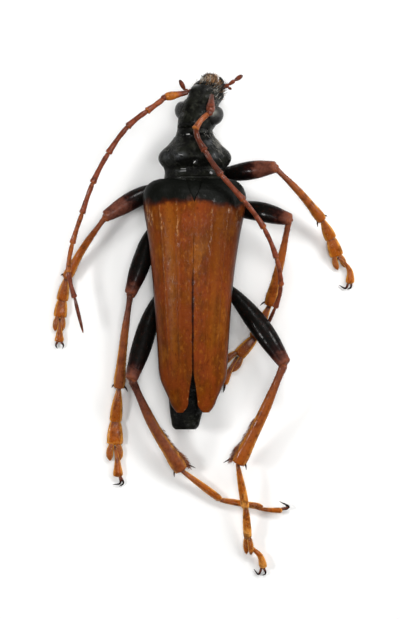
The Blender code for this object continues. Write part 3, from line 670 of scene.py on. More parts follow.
ABDOMEN = (
    (-7.4, 0.0, 2.35, 3.0, 4.85, 1.15),
    (-8.6, 0.0, 2.35, 2.95, 4.75, 1.0),
    (-11.0, -0.03, 2.12, 2.85, 4.45, 0.95),
    (-14.0, -0.15, 1.85, 2.7, 3.85, 1.0),
    (-16.5, -0.36, 1.62, 2.55, 3.35, 1.1),
    (-18.0, -0.54, 1.3, 2.45, 3.15, 1.25),
    (-18.9, -0.6, 1.1, 2.38, 3.02, 1.4),
    (-19.35, -0.62, 0.98, 2.34, 2.93, 1.55),
    (-19.56, -0.62, 0.82, 2.32, 2.85, 1.68),
)
VENTRITES = 5
STEP = 0.035  # how far each plate of the belly swells at its hind edge, as a share
# The hip of each pair of legs: middle, and half sizes.
COXAE = {
    "fore": ((0.86, 0.55, 0.88), (0.68, 0.78, 0.92)),
    "mid": ((1.25, -2.6, 0.72), (0.74, 0.8, 0.78)),
    "hind": ((1.4, -7.4, 0.7), (1.12, 0.62, 0.75)),
}
# Grey places of the neck ring, painted sheen and highlights with one speck of dust: x, y, spread across,
# spread along, weight.
SHEEN_AND_DUST_PLACES = ((-1.04, 1.82, 0.4, 0.2, 0.9), (1.7, 1.82, 0.3, 0.2, 0.8), (-1.04, 0.63, 0.28, 0.09, 1.0),
               (1.36, 0.6, 0.1, 0.1, 1.0), (0.2, 1.36, 0.06, 0.12, 1.0), (-2.0, 1.75, 0.5, 0.4, 0.35),
               (1.3, 2.9, 0.35, 0.3, 0.5), (2.2, 1.9, 0.4, 0.3, 0.3))


def sheen_and_dust_share(grid):
    """How much painted sheen, with a little dust, each point of the neck ring gets, 0 to 1, seen from above.
    """
    shares = [
        weight * hump(grid[..., 0], x, wide) * hump(grid[..., 1], y, tall)
        for x, y, wide, tall, weight in SHEEN_AND_DUST_PLACES
    ]
    return np.clip(sum(shares), 0, 1) * smooth(3.0, 4.2, grid[..., 2])


def inward(grid):
    """Directions in the plane of each ring to its middle."""
    return unit((grid.mean(axis=1, keepdims=True) - grid) * (1, 0, 1))


def pronotum_grid():
    """Cross-sections with bells added: two knobs on the disc, a point at each side, low swellings behind.

    Three shallow grooves run round it, and one along the middle of its top.
    """
    grid = sections(PRONOTUM, 130, 160)
    dorsal = smooth(3.6, 4.8, grid[..., 2])[..., None]
    for side, _ in SIDES:
        for place, spread, push in KNOBS:
            place = mirrored(place, side) + (PRONOTUM_MIDDLE, 0, 0)
            grid = grid + bell(grid, place, spread) * mirrored(push, side)
        place, spread, push = TUBERCLE
        near = bell(grid, mirrored(place, side) + (PRONOTUM_MIDDLE, 0, 0), spread)
        grid = grid + 1.4 * near / (near + 0.4) * mirrored(push, side)
    groove = sum(depth * hump(grid[..., 1:2], place, wide) for place, wide, depth in GROOVES)
    middle_line = bell(grid, (PRONOTUM_MIDDLE, 1.9, 5.3), (0.16, 0.9, 0.6)) * dorsal
    return grid + inward(grid) * groove * (0.35 + 0.65 * dorsal) + (0, 0, -0.1) * middle_line


def abdomen_grid():
    """Cross-sections that swell to the hind edge of each plate and step in behind it."""
    grid = sections(ABDOMEN, 180, 120)
    along = (grid[..., 1:2] - ABDOMEN[0][0]) / (ABDOMEN[-1][0] - ABDOMEN[0][0]) * VENTRITES
    part = along % 1.0
    swell = 1.0 + STEP * smooth(0.0, 0.9, part) * (1 - smooth(0.93, 1.0, part))
    middle = grid.mean(axis=1, keepdims=True)
    return middle + (grid - middle) * swell


def thorax_grid():
    """Cross-sections with a seam pressed in round the middle ring and along the breastbone."""
    grid = sections(THORAX, 110, 120)
    x, y, z = np.split(grid, 3, axis=-1)
    seam = 0.09 * hump(y + 0.25 * np.abs(x), -3.5, 0.08)
    keel = 0.08 * hump(x, 0.0, 0.07) * (z < 2.0)
    return grid + inward(grid) * (seam + keel)


def coxa_patch(centre, halves, side):
    """An ellipsoid, cut flat where it meets the floor."""
    return closed_skin(np.maximum(ball(26, 40, 0.49) * halves + mirrored(centre, side), FLOOR))


# Along the scutellum: y, half width, top. Its edges lie under those of the wing cases.
SCUTELLUM = (
    (-0.15, 0.68, 5.1),
    (-0.6, 0.64, 5.42),
    (-0.95, 0.54, 5.6),
    (-1.3, 0.36, 5.72),
    (-1.75, 0.14, 5.82),
)
SHIELD_BLACK = 1.2  # painted black of the scutellum, past 1 so that no amber shows


def scutellum_grid():
    """A small shield with a rounded point."""
    knots = [(y, 0.0, half, top - 0.25, top, top - 0.5) for y, half, top in SCUTELLUM]
    return sections(knots, 24, 40)


# Along the right elytron: y, inner edge x, outer edge x, height at the suture, height at the margin.
ELYTRON = (
    (0.04, 1.2, 2.7, 4.85, 4.4),
    (-0.08, 0.7, 3.15, 5.05, 4.2),
    (-0.25, 0.6, 3.45, 5.25, 4.05),
    (-0.6, 0.5, 3.8, 5.5, 3.85),
    (-0.9, 0.4, 3.94, 5.67, 3.72),
    (-1.3, 0.2, 4.04, 5.8, 3.6),
    (-1.8, 0.012, 4.02, 5.95, 3.5),
    (-4.6, 0.012, 3.57, 6.15, 3.35),
    (-7.6, 0.015, 3.2, 6.05, 3.25),
    (-11.4, 0.03, 2.9, 5.65, 3.3),
    (-14.2, 0.035, 2.72, 5.2, 3.4),
    (-15.0, 0.05, 2.67, 5.05, 3.45),
    (-15.7, 0.13, 2.52, 4.93, 3.55),
    (-16.3, 0.24, 2.27, 4.8, 3.62),
    (-17.1, 0.34, 1.9, 4.6, 3.7),
    (-17.8, 0.46, 1.6, 4.4, 3.65),
    (-18.2, 0.78, 1.28, 4.2, 3.55),
)
ELYTRON_STATIONS, ELYTRON_POINTS = 230, 72  # along it, and across each of its two skins
CROWN = 0.8  # power that makes its cross-section fuller than an ellipse
RIBS = ((0.36, 0.022), (0.68, 0.022), (0.02, 0.016))  # place across and half width of each rib
SHOULDER = ((3.0, -1.15, 5.0), (0.6, 0.6, 0.7), (0.03, 0, 0.1))  # place, spread and push of its bulge
BASE_DENT = ((1.9, -0.9, 5.6), (0.45, 0.7, 0.6), (0, 0, -0.09))


def lean(y):
    """How far to the beetle's right the wing cases lie at a place along it."""
    return 0.12 * smooth(-9.0, -1.5, y) - 0.03


def elytron_paint(side, skin, inner, out, rib, fade):
    """The painted values of a wing case's upper skin.

    Black at the base and at the margin, and a painted shadow along the hind suture; pale along a band between
    the ribs;
    a little paler on the ribs as a painted highlight; dim on the shaded flank; painted glints along the ribs,
    the shoulder and the suture.
    """
    x, y = skin[..., 0], skin[..., 1]
    border = -1.3 - 0.06 * np.abs(x) - (0.08 * x if side > 0 else 0)
    black = smooth(border - 0.95, border + 0.4, y)
    # A painted shadow of the seam between the wing cases, in black, down the hind part of the suture.
    suture = 0.45 * hump(x - inner, 0.0, 0.05) * smooth(-5.0, -9.0, y)
    margin = 0.5 * smooth(0.93, 1.0, out + 0 * y)
    band = 0.5 * hump(out, 0.52, 0.1) * fade * (0.6 if side > 0 else 1.0)
    dim = 0.45 * smooth(-9.5, -5.0, y) * smooth(0.1, 0.4, out) if side > 0 else 0.2 * smooth(-7.0, -11.0, y)
    # Where painted glints go: the shoulder and the seam.
    shoulder = hump(out, 0.9, 0.05) * smooth(-4.2, -3.0, y) * smooth(-0.9, -1.6, y)
    seam = hump(x - inner, 0.05, 0.05) * smooth(-6.0, -8.5, y)
    # Painted glints, which also weigh a glossy coat.
    glint = 0.12 + 0.8 * rib * (0.3 + 0.7 * smooth(-8.0, -4.5, y)) + 1.5 * shoulder + 0.9 * seam
    return {
        "black": np.maximum(black, np.maximum(suture, margin)),
        # The ribs' share of pale is a painted highlight.
        "pale": np.clip(band + 0.15 * rib, 0, 1),
        "dim": dim + 0.35 * smooth(0.86, 0.97, out) + 0 * y,
        "glint": np.clip(glint, 0, 1) * (1 - smooth(border - 0.2, border + 0.5, y)),
    }


LINING_PAINT = {"black": 0.7, "pale": 0.0, "dim": 0.0, "glint": 0.0}


def elytron_patch(side, thickness):
    """A curved shell: half a superellipse from the suture down to the margin, carried along Y.

    Ribs are bells across it that fade towards the tip, and the shoulder carries a low bulge.
    """
    knots = np.asarray(ELYTRON)[::-1]
    at = np.interp(np.linspace(0, len(knots) - 1, ELYTRON_STATIONS), np.arange(len(knots)), knots[:, 0])
    inner, outer, top, margin = hermite(knots[:, 0], knots[:, 1:], at).T[:, :, None]
    turn = np.linspace(0, math.pi / 2, ELYTRON_POINTS)[None]
    out, up = np.sin(turn) ** CROWN, np.cos(turn) ** CROWN
    span, rise = outer - inner, top - margin
    y = np.repeat(at[:, None], turn.size, axis=1)
    fade = smooth(-17.0, -12.0, y) * smooth(-1.0, -2.6, y)
    rib = sum(hump(out, place, wide) for place, wide in RIBS) * fade
    skin = np.stack([inner + span * out, y, margin + rise * up], -1)
    lift = np.stack([np.sin(turn) + 0 * y, 0 * y, np.cos(turn) + 0 * y], -1)
    skin = skin + lift * (bpy.context.scene.beetle_sizes.rib_height * rib)[..., None]
    for place, spread, push in (SHOULDER, BASE_DENT):
        skin = skin + bell(skin, place, spread) * push
    wall = np.minimum(thickness, 0.6 * span)
    lining = np.stack([inner + (span - wall) * out, y, margin + (rise - thickness) * up], -1)
    rings = np.concatenate([skin, lining[:, ::-1]], axis=1) * (side, 1, 1)
    rings[..., 0] += lean(rings[..., 1])
    paint = elytron_paint(side, skin, inner, out, rib, fade)
    return closed_skin(rings, **{
        name: np.concatenate([value, np.full_like(value, LINING_PAINT[name])], axis=1)
        for name, value in paint.items()
    })


# The head


NECK = np.array([0.13, 4.08, 3.65])
HEAD_YAW, HEAD_PITCH, HEAD_ROLL = math.radians(18), math.radians(24), math.radians(18)
HEAD = (
    (-0.35, -0.05, 1.28, 0.0, 1.12, -1.12),
    (0.3, -0.05, 1.42, 0.0, 1.25, -1.3),
    (1.0, -0.04, 1.55, 0.0, 1.38, -1.45),
    (1.7, 0.0, 1.5, 0.0, 1.4, -1.5),
    (2.3, 0.0, 1.22, 0.0, 1.28, -1.45),
    (2.85, 0.0, 1.12, 0.0, 1.1, -1.35),
    (3.4, 0.0, 1.16, -0.05, 0.85, -1.25),
    (3.9, 0.0, 1.08, -0.1, 0.6, -1.1),
    (4.3, 0.0, 0.86, -0.15, 0.36, -0.9),
)
EYE = (1.08, 1.28, 0.2)
EYE_HALVES = (0.9, 0.9, 0.8)
EYE_NOTCH = ((1.25, 2.1, 0.75), (0.3, 0.28, 0.3), (-0.1, -0.28, -0.1))
EYE_PAINTED_HIGHLIGHT = ((1.42, 5.22, 4.6), (0.24, 0.15, 3.0))  # the painted highlight on the right eye, in the body frame
# Swellings of the head's two sides, the ring of each feeler and each cheek: place, spread and push.
HEAD_SWELLINGS = (
    ((0.78, 2.72, 0.8), (0.34, 0.36, 0.5), (0.12, 0, 0.3)),
    ((1.1, 3.25, -0.3), (0.5, 0.35, 0.5), (0.22, 0, 0)),
)


def turned(vector, axis, angle):
    """A vector turned about an axis by the right-hand rule."""
    axis, vector = unit(axis), np.asarray(vector, float)
    return (vector * math.cos(angle) + np.cross(axis, vector) * math.sin(angle)
            + axis * (axis @ vector) * (1 - math.cos(angle)))


YAW_WAY = np.array([math.sin(HEAD_YAW), math.cos(HEAD_YAW), 0.0])
FORWARD = YAW_WAY * math.cos(HEAD_PITCH) - np.array(UP) * math.sin(HEAD_PITCH)
RIGHT = turned((math.cos(HEAD_YAW), -math.sin(HEAD_YAW), 0.0), FORWARD, -HEAD_ROLL)
HEAD_TURN = np.stack([RIGHT, FORWARD, np.cross(RIGHT, FORWARD)])


def in_head(points):
    """Points of the head's own frame (right, forward, up) in the body frame."""
    return np.asarray(points, float) @ HEAD_TURN + NECK


def head_grid():
    """Cross-sections with bells added: a ring for each feeler, cheeks, a groove down the brow.

    Also returns how much each point is of pale horn, at the front edge.
    """
    grid = sections(HEAD, 150, 140, upper=2.2, lower=2.2)
    for side, _ in SIDES:
        for place, spread, push in HEAD_SWELLINGS:
            grid = grid + bell(grid, mirrored(place, side), spread) * mirrored(push, side)
        ring = np.linalg.norm((grid - mirrored(EYE, side)) / EYE_HALVES, axis=-1)[..., None]
        grid = grid + hump(ring, 1.08, 0.06) * mirrored((-0.05, 0, 0), side)
    grid = grid + bell(grid, (0, 2.4, 1.25), (0.16, 0.7, 0.4)) * (0, 0, -0.16)
    plate = hump(grid[..., 1:2], 3.55, 0.06) * smooth(0.0, 0.5, grid[..., 2:3])
    horn = smooth(3.75, 4.2, grid[..., 1]) * smooth(-0.3, 0.1, grid[..., 2])
    return in_head(grid - plate * (0, 0, 0.07)), horn


def eye_patch(side):
    """An ellipsoid sunk into the side of the head, notched where it meets the feeler's ring, carrying the
    place of its painted highlight.
    """
    grid = ball(44, 64, 0.495)[..., [0, 2, 1]] * EYE_HALVES + mirrored(EYE, side)
    place, spread, push = EYE_NOTCH
    skin = in_head(grid + bell(grid, mirrored(place, side), spread) * mirrored(push, side))
    return closed_skin(skin, dust=bell(skin, *EYE_PAINTED_HIGHLIGHT)[..., 0])


# Joints of the mouth feelers.
PALPS = {
    "left": [(-0.1, 7.1, 2.0), (-0.36, 6.98, 2.25), (-0.66, 7.08, 2.45), (-1.08, 7.88, 2.8)],
    "right": [(2.3, 7.3, 2.1), (2.79, 7.52, 2.35), (3.24, 7.83, 2.55), (3.88, 8.24, 2.75)],
}
LABIAL_PALPS = {
    "left": [(0.9, 7.0, 1.9), (0.75, 7.35, 1.75), (0.7, 7.62, 1.7), (0.62, 7.9, 1.65)],
    "right": [(2.15, 7.35, 1.95), (2.45, 7.36, 1.9), (2.7, 7.36, 1.85), (3.02, 7.18, 1.8)],
}
# Along each of a palp's three pieces: how far along, half width and half height as shares of the radius.
PALP_PROFILES = (
    ((0, 0.7, 0.7), (0.6, 0.85, 0.85), (1, 0.7, 0.7)),
    ((0, 0.55, 0.55), (0.7, 0.85, 0.85), (1, 0.7, 0.7)),
    ((0, 0.5, 0.5), (0.4, 0.95, 0.85), (0.8, 0.8, 0.7), (1, 0.4, 0.4)),
)
JAW_PATH = ((0.6, 4.15, -0.62), (0.68, 4.7, -0.64), (0.42, 5.15, -0.55))
JAW_PROFILE = ((0, 0.28, 0.26), (0.5, 0.22, 0.22), (0.85, 0.12, 0.12), (1.0, 0.04, 0.04))
LABRUM = ((4.2, 0.0, 0.5, 0.05, 0.3, -0.12), (4.45, 0, 0.54, 0.05, 0.32, -0.14),
          (4.7, 0, 0.5, 0.02, 0.25, -0.14), (4.85, 0.0, 0.34, 0.0, 0.14, -0.1))


def palp_patch(path, radius):
    """A jointed mouth feeler: three pieces, each thin at its base, the last a long spindle."""
    joints = np.asarray(path, float)
    pieces = []
    for i, (start, end, profile) in enumerate(zip(joints, joints[1:], PALP_PROFILES)):
        rings, at = tube([start, (start + end) / 2, end], scaled(profile, radius), 16, 14, ends=(0.08, 0.12))
        fade = 0.25 * smooth(0.6, 1.0, at) if i == 2 else 0.0 * at
        pieces.append(closed_skin(rings, rust=(0.5 - 0.08 * i - fade)[:, None]))
    return merged(pieces)


def mandible_patch(side):
    """A curved, tapering jaw."""
    rings, _ = tube(in_head(mirrored(JAW_PATH, side)), JAW_PROFILE, 26, 20, ends=(0.05, 0.06))
    return closed_skin(rings)


def labrum_grid():
    """A crowned plate with a rounded front edge."""
    return in_head(sections(LABRUM, 40, 48))


# The feelers


ANTENNA_MARKS = {
    "left": [
        (-0.42, 6.86, 3.62), (-2.18, 6.51, 4.2), (-2.34, 6.34, 4.26), (-3.62, 5.41, 4.6),
        (-5.14, 4.21, 4.7), (-6.66, 2.12, 4.5), (-7.88, -0.2, 4.1), (-8.71, -2.59, 3.5),
        (-9.48, -4.95, 2.9), (-9.8, -7.17, 2.4), (-9.32, -9.18, 2.1), (-8.66, -11.88, 1.9),
    ],
    "right": [
        (1.44, 6.66, 4.05), (1.33, 5.36, 5.2), (1.17, 5.2, 5.32), (0.16, 4.0, 5.85),
        (0.88, 2.35, 6.45), (2.16, 0.43, 6.5), (3.91, -1.54, 6.1), (5.53, -3.74, 5.4),
        (6.5, -6.08, 4.6), (6.88, -8.23, 3.7), (6.44, -9.96, 2.65), (5.45, -12.1, 1.05),
    ],
}
ANTENNAE = {word: as_seen(marks) for word, marks in ANTENNA_MARKS.items()}
# Along a feeler's first, second, last and other pieces: how far along, and radius as a share.
CLUB = ((0, 0.6), (0.12, 0.72), (0.45, 1.0), (0.78, 1.3), (0.95, 1.05), (1, 0.85))
BEAD = ((0, 0.75), (0.5, 0.95), (1, 0.8))
SPINDLE = ((0, 0.5), (0.15, 0.68), (0.6, 0.68), (0.9, 0.45), (1, 0.25))
SHAFT = ((0, 0.6), (0.06, 0.74), (0.5, 0.82), (0.85, 1.02), (0.97, 1.08), (1, 0.85))
FEELER_SHAPES = (CLUB, BEAD, *[SHAFT] * 8, SPINDLE)
ANTENNA_LENGTHS = (("scape", 0, 2), ("middle", 2, 6), ("tip", 6, 11))
ANTENNA_TAPER = np.linspace(1.0, 0.7, 12)
# How red-brown to orange each piece is, 0 to 1.
FEELER_SHADES = {
    "left": (0.72, 0.34, 0.56, 0.42, 0.4, 0.46, 0.5, 0.6, 0.7, 0.4, 0.25),
    "right": (0.26, 0.3, 0.62, 0.2, 0.22, 0.42, 0.46, 0.44, 0.5, 0.45, 0.3),
}


def joint_curve(joints):
    """The points halfway along each piece of a chain, bowed to follow its neighbours."""
    slopes = np.gradient(joints, axis=0)
    return (joints[:-1] + joints[1:]) / 2 + (slopes[:-1] - slopes[1:]) / 8


def antenna_pieces(word, radius):
    """Eleven pieces with their rings, each from joint to joint: a thin neck, an even shaft, a flared end.

    The first is a club, the second a bead and the last a spindle.
    """
    joints = ANTENNAE[word]
    middles = joint_curve(joints)
    made = []
    for i, (start, middle, end) in enumerate(zip(joints, middles, joints[1:])):
        wide = radius * ANTENNA_TAPER[i]
        profile = [(at, wide * share, wide * share) for at, share in FEELER_SHAPES[i]]
        reach = end + 0.06 * unit(end - start)
        rings, at = tube([start, middle, reach], profile, 30, 18, ends=(0.03, 0.03))
        shade = FEELER_SHADES[word][i]
        rust = shade + 0.22 * smooth(0.88, 0.99, at) + 0.12 * smooth(0.12, 0.0, at)
        if i == 0:
            rust = 0.1 + shade * smooth(0.1, 0.6, at)
        made.append((closed_skin(rings, rust=rust[:, None]), rings))
    return made


# The legs


# Along each part of a leg: how far along, half width, half height.
FEMUR_PROFILE = ((0, 0.3, 0.3), (0.16, 0.36, 0.36), (0.3, 0.54, 0.5), (0.55, 0.76, 0.68),
                 (0.76, 0.73, 0.63), (0.92, 0.56, 0.5), (1.0, 0.46, 0.42))
TIBIA_PROFILE = ((0, 0.24, 0.24), (0.05, 0.26, 0.26), (0.1, 0.24, 0.25), (0.4, 0.32, 0.28),
                 (0.75, 0.4, 0.33), (0.95, 0.48, 0.4), (1.0, 0.43, 0.38))
FIRST_PAD_PROFILE = ((0, 0.34, 0.17), (0.15, 0.5, 0.2), (0.45, 0.84, 0.24), (0.8, 1.0, 0.25),
                     (1.0, 0.96, 0.2))
SECOND_PAD_PROFILE = ((0, 0.6, 0.17), (0.15, 0.76, 0.2), (0.5, 0.95, 0.24), (0.85, 1.0, 0.24),
                      (1.0, 0.96, 0.2))
LOBE_PROFILE = ((0, 0.5, 0.16), (0.3, 0.85, 0.2), (0.65, 1.0, 0.2), (1.0, 0.6, 0.13))
LAST_PROFILE = ((0, 0.36, 0.12), (0.35, 0.45, 0.15), (0.7, 0.8, 0.19), (0.92, 1.0, 0.21), (1.0, 0.86, 0.18))
CLAW_PROFILE = ((0, 0.11, 0.11), (0.4, 0.085, 0.095), (0.8, 0.045, 0.05), (1.0, 0.012, 0.012))
SPUR_PROFILE = ((0, 0.08, 0.08), (0.5, 0.06, 0.06), (1, 0.012, 0.012))
KNEE_LOBE_PROFILE = ((0, 0.12, 0.2), (0.5, 0.13, 0.26), (1.0, 0.09, 0.16))
FOOT_SHADES = ((0.66, 0.8), (0.7, 0.86), (0.62, 0.72), (0.62, 0.72), (0.62, 0.82))  # at base and rim; the rim's brightness is partly painted glow

# Each leg: joints as the photo shows them, widths of its parts, and how its colour changes.
# "lobes" holds how far the third pad's lobes reach and spread; "widths" those of two pads, a lobe
# and the last piece; "claws" the bend and the tip of each; "up" the way that the foot faces.
LEG_MARKS = {
    "fore_left": {
        "femur": [(-0.95, 0.45, 0.85), (-2.2, -0.48, 1.05), (-4.0, -1.2, 1.45), (-6.95, -2.88, 2.2)],
        "shin": (-8.57, -5.25, 1.5), "ankle": (-9.98, -7.74, 0.75), "spur": 0.4,
        "femur_width": 0.95, "tibia_width": 0.84, "red_from": 0.68, "glow": -0.06, "shin_rust": 0.03,
        "pads": [(-10.29, -9.47, 0.32), (-10.45, -10.74, 0.26)], "lobes": (1.15, 0.25),
        "widths": (0.47, 0.52, 0.24, 0.36),
        "last": [(-10.47, -11.2, 0.36), (-10.52, -12.72, 0.3)],
        "claws": [((-10.76, -13.0, 0.24), (-10.65, -13.22, 0.12)),
                  ((-10.18, -13.0, 0.24), (-10.26, -13.23, 0.12))],
    },
    "fore_right": {
        "femur": [(0.95, 0.5, 0.85), (3.11, 0.55, 2.05), (4.8, 0.8, 3.05), (6.5, 1.04, 3.9)],
        "shin": (8.38, -1.02, 2.7), "ankle": (10.14, -3.17, 1.5), "spur": 0.4,
        "femur_width": 0.95, "tibia_width": 0.86, "red_from": 0.68, "glow": 0.01, "shin_rust": 0.0,
        "pads": [(10.8, -4.63, 0.85), (11.26, -5.96, 0.42)], "lobes": (1.1, 0.29),
        "widths": (0.48, 0.55, 0.24, 0.34),
        "last": [(11.5, -6.2, 0.5), (12.25, -7.1, 0.38), (12.28, -8.15, 0.3)],
        "claws": [((11.96, -8.48, 0.24), (11.41, -8.23, 0.12)),
                  ((12.34, -8.43, 0.24), (12.07, -8.57, 0.12))],
    },
    "mid_left": {
        "femur": [(-1.4, -2.7, 0.72), (-3.2, -4.25, 1.3), (-3.96, -6.18, 1.7), (-4.97, -9.0, 2.3)],
        "shin": (-5.46, -12.67, 1.5), "ankle": (-5.84, -16.36, 0.75), "spur": 0.5,
        "femur_width": 0.98, "tibia_width": 0.95, "red_from": 0.87, "glow": 0.0, "shin_rust": -0.12,
        "pads": [(-6.11, -19.01, 0.34), (-6.15, -20.74, 0.26)], "lobes": (1.3, 0.36),
        "widths": (0.49, 0.64, 0.28, 0.38),
        "last": [(-6.0, -21.6, 0.4), (-5.89, -23.28, 0.3)],
        "claws": [((-5.73, -23.76, 0.24), (-6.33, -23.88, 0.12)),
                  ((-5.5, -23.8, 0.2), (-5.83, -24.04, 0.12))],
    },
    "mid_right": {
        "femur": [(1.4, -2.55, 0.72), (3.0, -2.3, 1.65), (4.75, -2.4, 2.7), (7.66, -3.1, 4.3)],
        "shin": (6.82, -6.47, 2.8), "ankle": (5.97, -9.84, 1.25), "spur": 0.5,
        "femur_width": 1.0, "tibia_width": 0.95, "red_from": 0.87, "glow": -0.16, "shin_rust": 0.03,
        "pads": [(4.72, -12.46, 0.55), (3.54, -13.75, 0.3)], "lobes": (1.4, 0.42),
        "widths": (0.45, 0.5, 0.28, 0.34),
        "last": [(3.2, -14.3, 0.4), (2.33, -15.99, 0.32)],
        "claws": [((2.0, -16.3, 0.24), (1.85, -16.52, 0.12)),
                  ((2.42, -16.4, 0.24), (2.35, -16.65, 0.12))],
    },
    "hind_left": {
        "femur": [(-1.6, -7.45, 0.72), (-3.1, -10.2, 1.45), (-4.1, -13.22, 2.25), (-4.9, -15.72, 3.0)],
        "shin": (-3.06, -19.37, 1.9), "ankle": (-0.88, -22.8, 0.85), "spur": 0.75,
        "femur_width": 1.03, "tibia_width": 1.24, "red_from": 0.92, "glow": 0.02, "shin_rust": -0.16,
        "pads": [(2.19, -25.09, 0.3), (4.29, -25.44, 0.28)], "lobes": (1.2, 0.16),
        "widths": (0.32, 0.26, 0.2, 0.27),
        "last": [(5.2, -25.75, 0.36), (7.0, -25.92, 0.36)],
        "claws": [((7.48, -25.64, 0.42), (6.73, -25.18, 0.5)),
                  ((7.38, -25.72, 0.26), (7.11, -25.29, 0.14))],
        "up": (0.2, -1.0, 0.35),
    },
    "hind_right": {
        "femur": [(1.6, -7.45, 0.72), (3.19, -9.0, 1.4), (5.31, -11.62, 2.45), (7.24, -14.5, 3.4)],
        "shin": (5.41, -18.43, 2.65), "ankle": (3.47, -22.28, 1.85), "spur": 0.8,
        "femur_width": 1.08, "tibia_width": 1.24, "red_from": 0.92, "glow": 0.14, "shin_rust": 0.02,
        "pads": [(4.12, -25.84, 1.3), (4.27, -28.08, 0.75)], "lobes": (1.35, 0.22),
        "widths": (0.34, 0.35, 0.22, 0.35),
        "last": [(4.5, -28.7, 0.6), (5.25, -29.5, 0.5), (5.52, -30.45, 0.34)],
        "claws": [((5.11, -30.91, 0.2), (4.74, -30.49, 0.12)),
                  ((5.64, -30.88, 0.2), (5.42, -31.0, 0.12))],
        "up": (-0.6, 0.1, 0.8),
    },
}
LOBE_LOWEST = 0.2  # how low the middle of a lobe's end may lie
JOINT_KEYS = ("femur", "shin", "ankle", "pads", "last", "claws")
LEGS = {
    word: {"up": UP} | {key: as_seen(value) if key in JOINT_KEYS else value for key, value in marks.items()}
    for word, marks in LEG_MARKS.items()
}


def femur_rings(leg):
    """A club: thin at the body, thickest past the middle, narrowed again to the knee."""
    return tube(leg["femur"], scaled(FEMUR_PROFILE, leg["femur_width"]), 70, 44, ends=(0.03, 0.02))


def knee_axis(leg):
    """The direction that the knee bends about, and the directions of the thigh and the shin."""
    thigh = unit(leg["femur"][-1] - leg["femur"][-2])
    shin = unit(leg["ankle"] - leg["femur"][-1])
    return unit(np.cross(thigh, shin)), thigh, shin


def inner_side(leg):
    """The direction across the shin that faces the thigh."""
    _, thigh, shin = knee_axis(leg)
    return unit((thigh @ shin) * shin - thigh)


def knee_lobes(leg):
    """Two rounded plates that hold the shin between them at the end of the thigh."""
    axis, thigh, shin = knee_axis(leg)
    knee = leg["femur"][-1]
    inner = unit(shin - thigh)
    made = []
    for side in (-1, 1):
        root = knee - 0.45 * thigh + side * 0.2 * axis + 0.08 * inner
        tip = knee + 0.2 * thigh + side * 0.26 * axis + 0.2 * inner
        rings, _ = tube([root, (root + tip) / 2, tip], KNEE_LOBE_PROFILE, 18, 18, up=inner, ends=(0.2, 0.3))
        made.append(closed_skin(rings, rust=0.5))
    return made


def femur_patches(leg):
    """A thigh, black as far as its own place and red-brown from there on, with a painted highlight at the
    knee's end, and the plates of its knee.
    """
    rings, at = femur_rings(leg)
    start = leg["red_from"]
    # The last rise at the very end of the thigh is a painted highlight on the knee.
    rust = 0.36 * smooth(start - 0.16, min(start + 0.14, 0.99), at) + 0.12 * smooth(0.94, 1.0, at)
    return [closed_skin(rings, rust=rust[:, None]), *knee_lobes(leg)]


def tibia_rings(leg):
    """A shaft that widens to the ankle, its base set a little into the end of the thigh."""
    _, thigh, _ = knee_axis(leg)
    base = leg["femur"][-1] - 0.16 * thigh
    return tube([base, leg["shin"], leg["ankle"]], scaled(TIBIA_PROFILE, leg["tibia_width"]), 70, 36,
                ends=(0.03, 0.02))


def spur_patches(leg, rings):
    """Two short spines at the far end of the shin, one at each edge."""
    end, before = rings[-8], rings[-20]  # a ring close to the ankle, and one further up
    middle = end.mean(axis=0)
    ahead = unit(middle - before.mean(axis=0))
    inner = inner_side(leg)
    made = []
    for corner in (len(end) // 20, len(end) // 2 - len(end) // 20):
        root = middle + 0.8 * (end[corner] - middle)
        out = unit(end[corner] - middle)
        length = leg["spur"] * (1.0 if out @ inner > 0 else 0.6)
        tip = root + length * (ahead + 0.75 * out - (0, 0, 0.2))
        spine, _ = tube([root, (root + tip) / 2 + 0.04 * out, tip], SPUR_PROFILE, 10, 8, ends=(0.05, 0.1))
        made.append(closed_skin(spine, rust=0.22))
    return made


def tibia_patches(leg):
    """A shin, paler towards the ankle, with a painted glow along its edges, and its spurs."""
    rings, at = tibia_rings(leg)
    rust = leg["shin_rust"] + 0.45 + 0.2 * smooth(0.05, 0.45, at) + 0.08 * smooth(0.6, 1.0, at)
    # A painted glow along the shin's edges.
    rim = 0.55 * rims(rings) * smooth(0.2, 0.7, at)[:, None]
    return [closed_skin(rings, rust=rust[:, None], rim=rim), *spur_patches(leg, rings)]


def foot_parts(leg):
    """The soft parts of a foot as rings: two pads, the two lobes of the third and the slender last piece."""
    joints, up, widths = [leg["ankle"], *leg["pads"]], leg["up"], leg["widths"]
    made = []
    profiles = (FIRST_PAD_PROFILE, SECOND_PAD_PROFILE)
    for start, end, profile, width in zip(joints, joints[1:], profiles, widths):
        way = unit(end - start)
        path = [start - 0.1 * way, (start + end) / 2 + (0, 0, 0.04), end + 0.05 * way]
        made.append(tube(path, scaled(profile, width, 1), 40, 36, up=up, ends=(0.03, 0.1), square=0.8))
    reach, spread = leg["lobes"]
    ahead = unit(joints[-1] - joints[-2])
    start = joints[-1] - 0.25 * ahead
    for side, _ in SIDES:
        aside = side * spread * unit(np.cross(ahead, np.asarray(up, float)))
        end = start + (reach + 0.25) * ahead + aside
        end[2] = max(end[2], LOBE_LOWEST)
        path = [start + 0.5 * aside, (start + end) / 2 + 0.55 * aside, end]
        lobe = scaled(LOBE_PROFILE, widths[2], 1)
        made.append(tube(path, lobe, 34, 26, up=up, ends=(0.05, 0.25), square=0.85))
    path = [start + 0.35 * ahead + (0, 0, 0.1), *leg["last"]]
    made.append(tube(path, scaled(LAST_PROFILE, widths[3], 1), 44, 26, up=up, ends=(0.03, 0.06)))
    return [(np.maximum(rings, FLOOR), at) for rings, at in made]


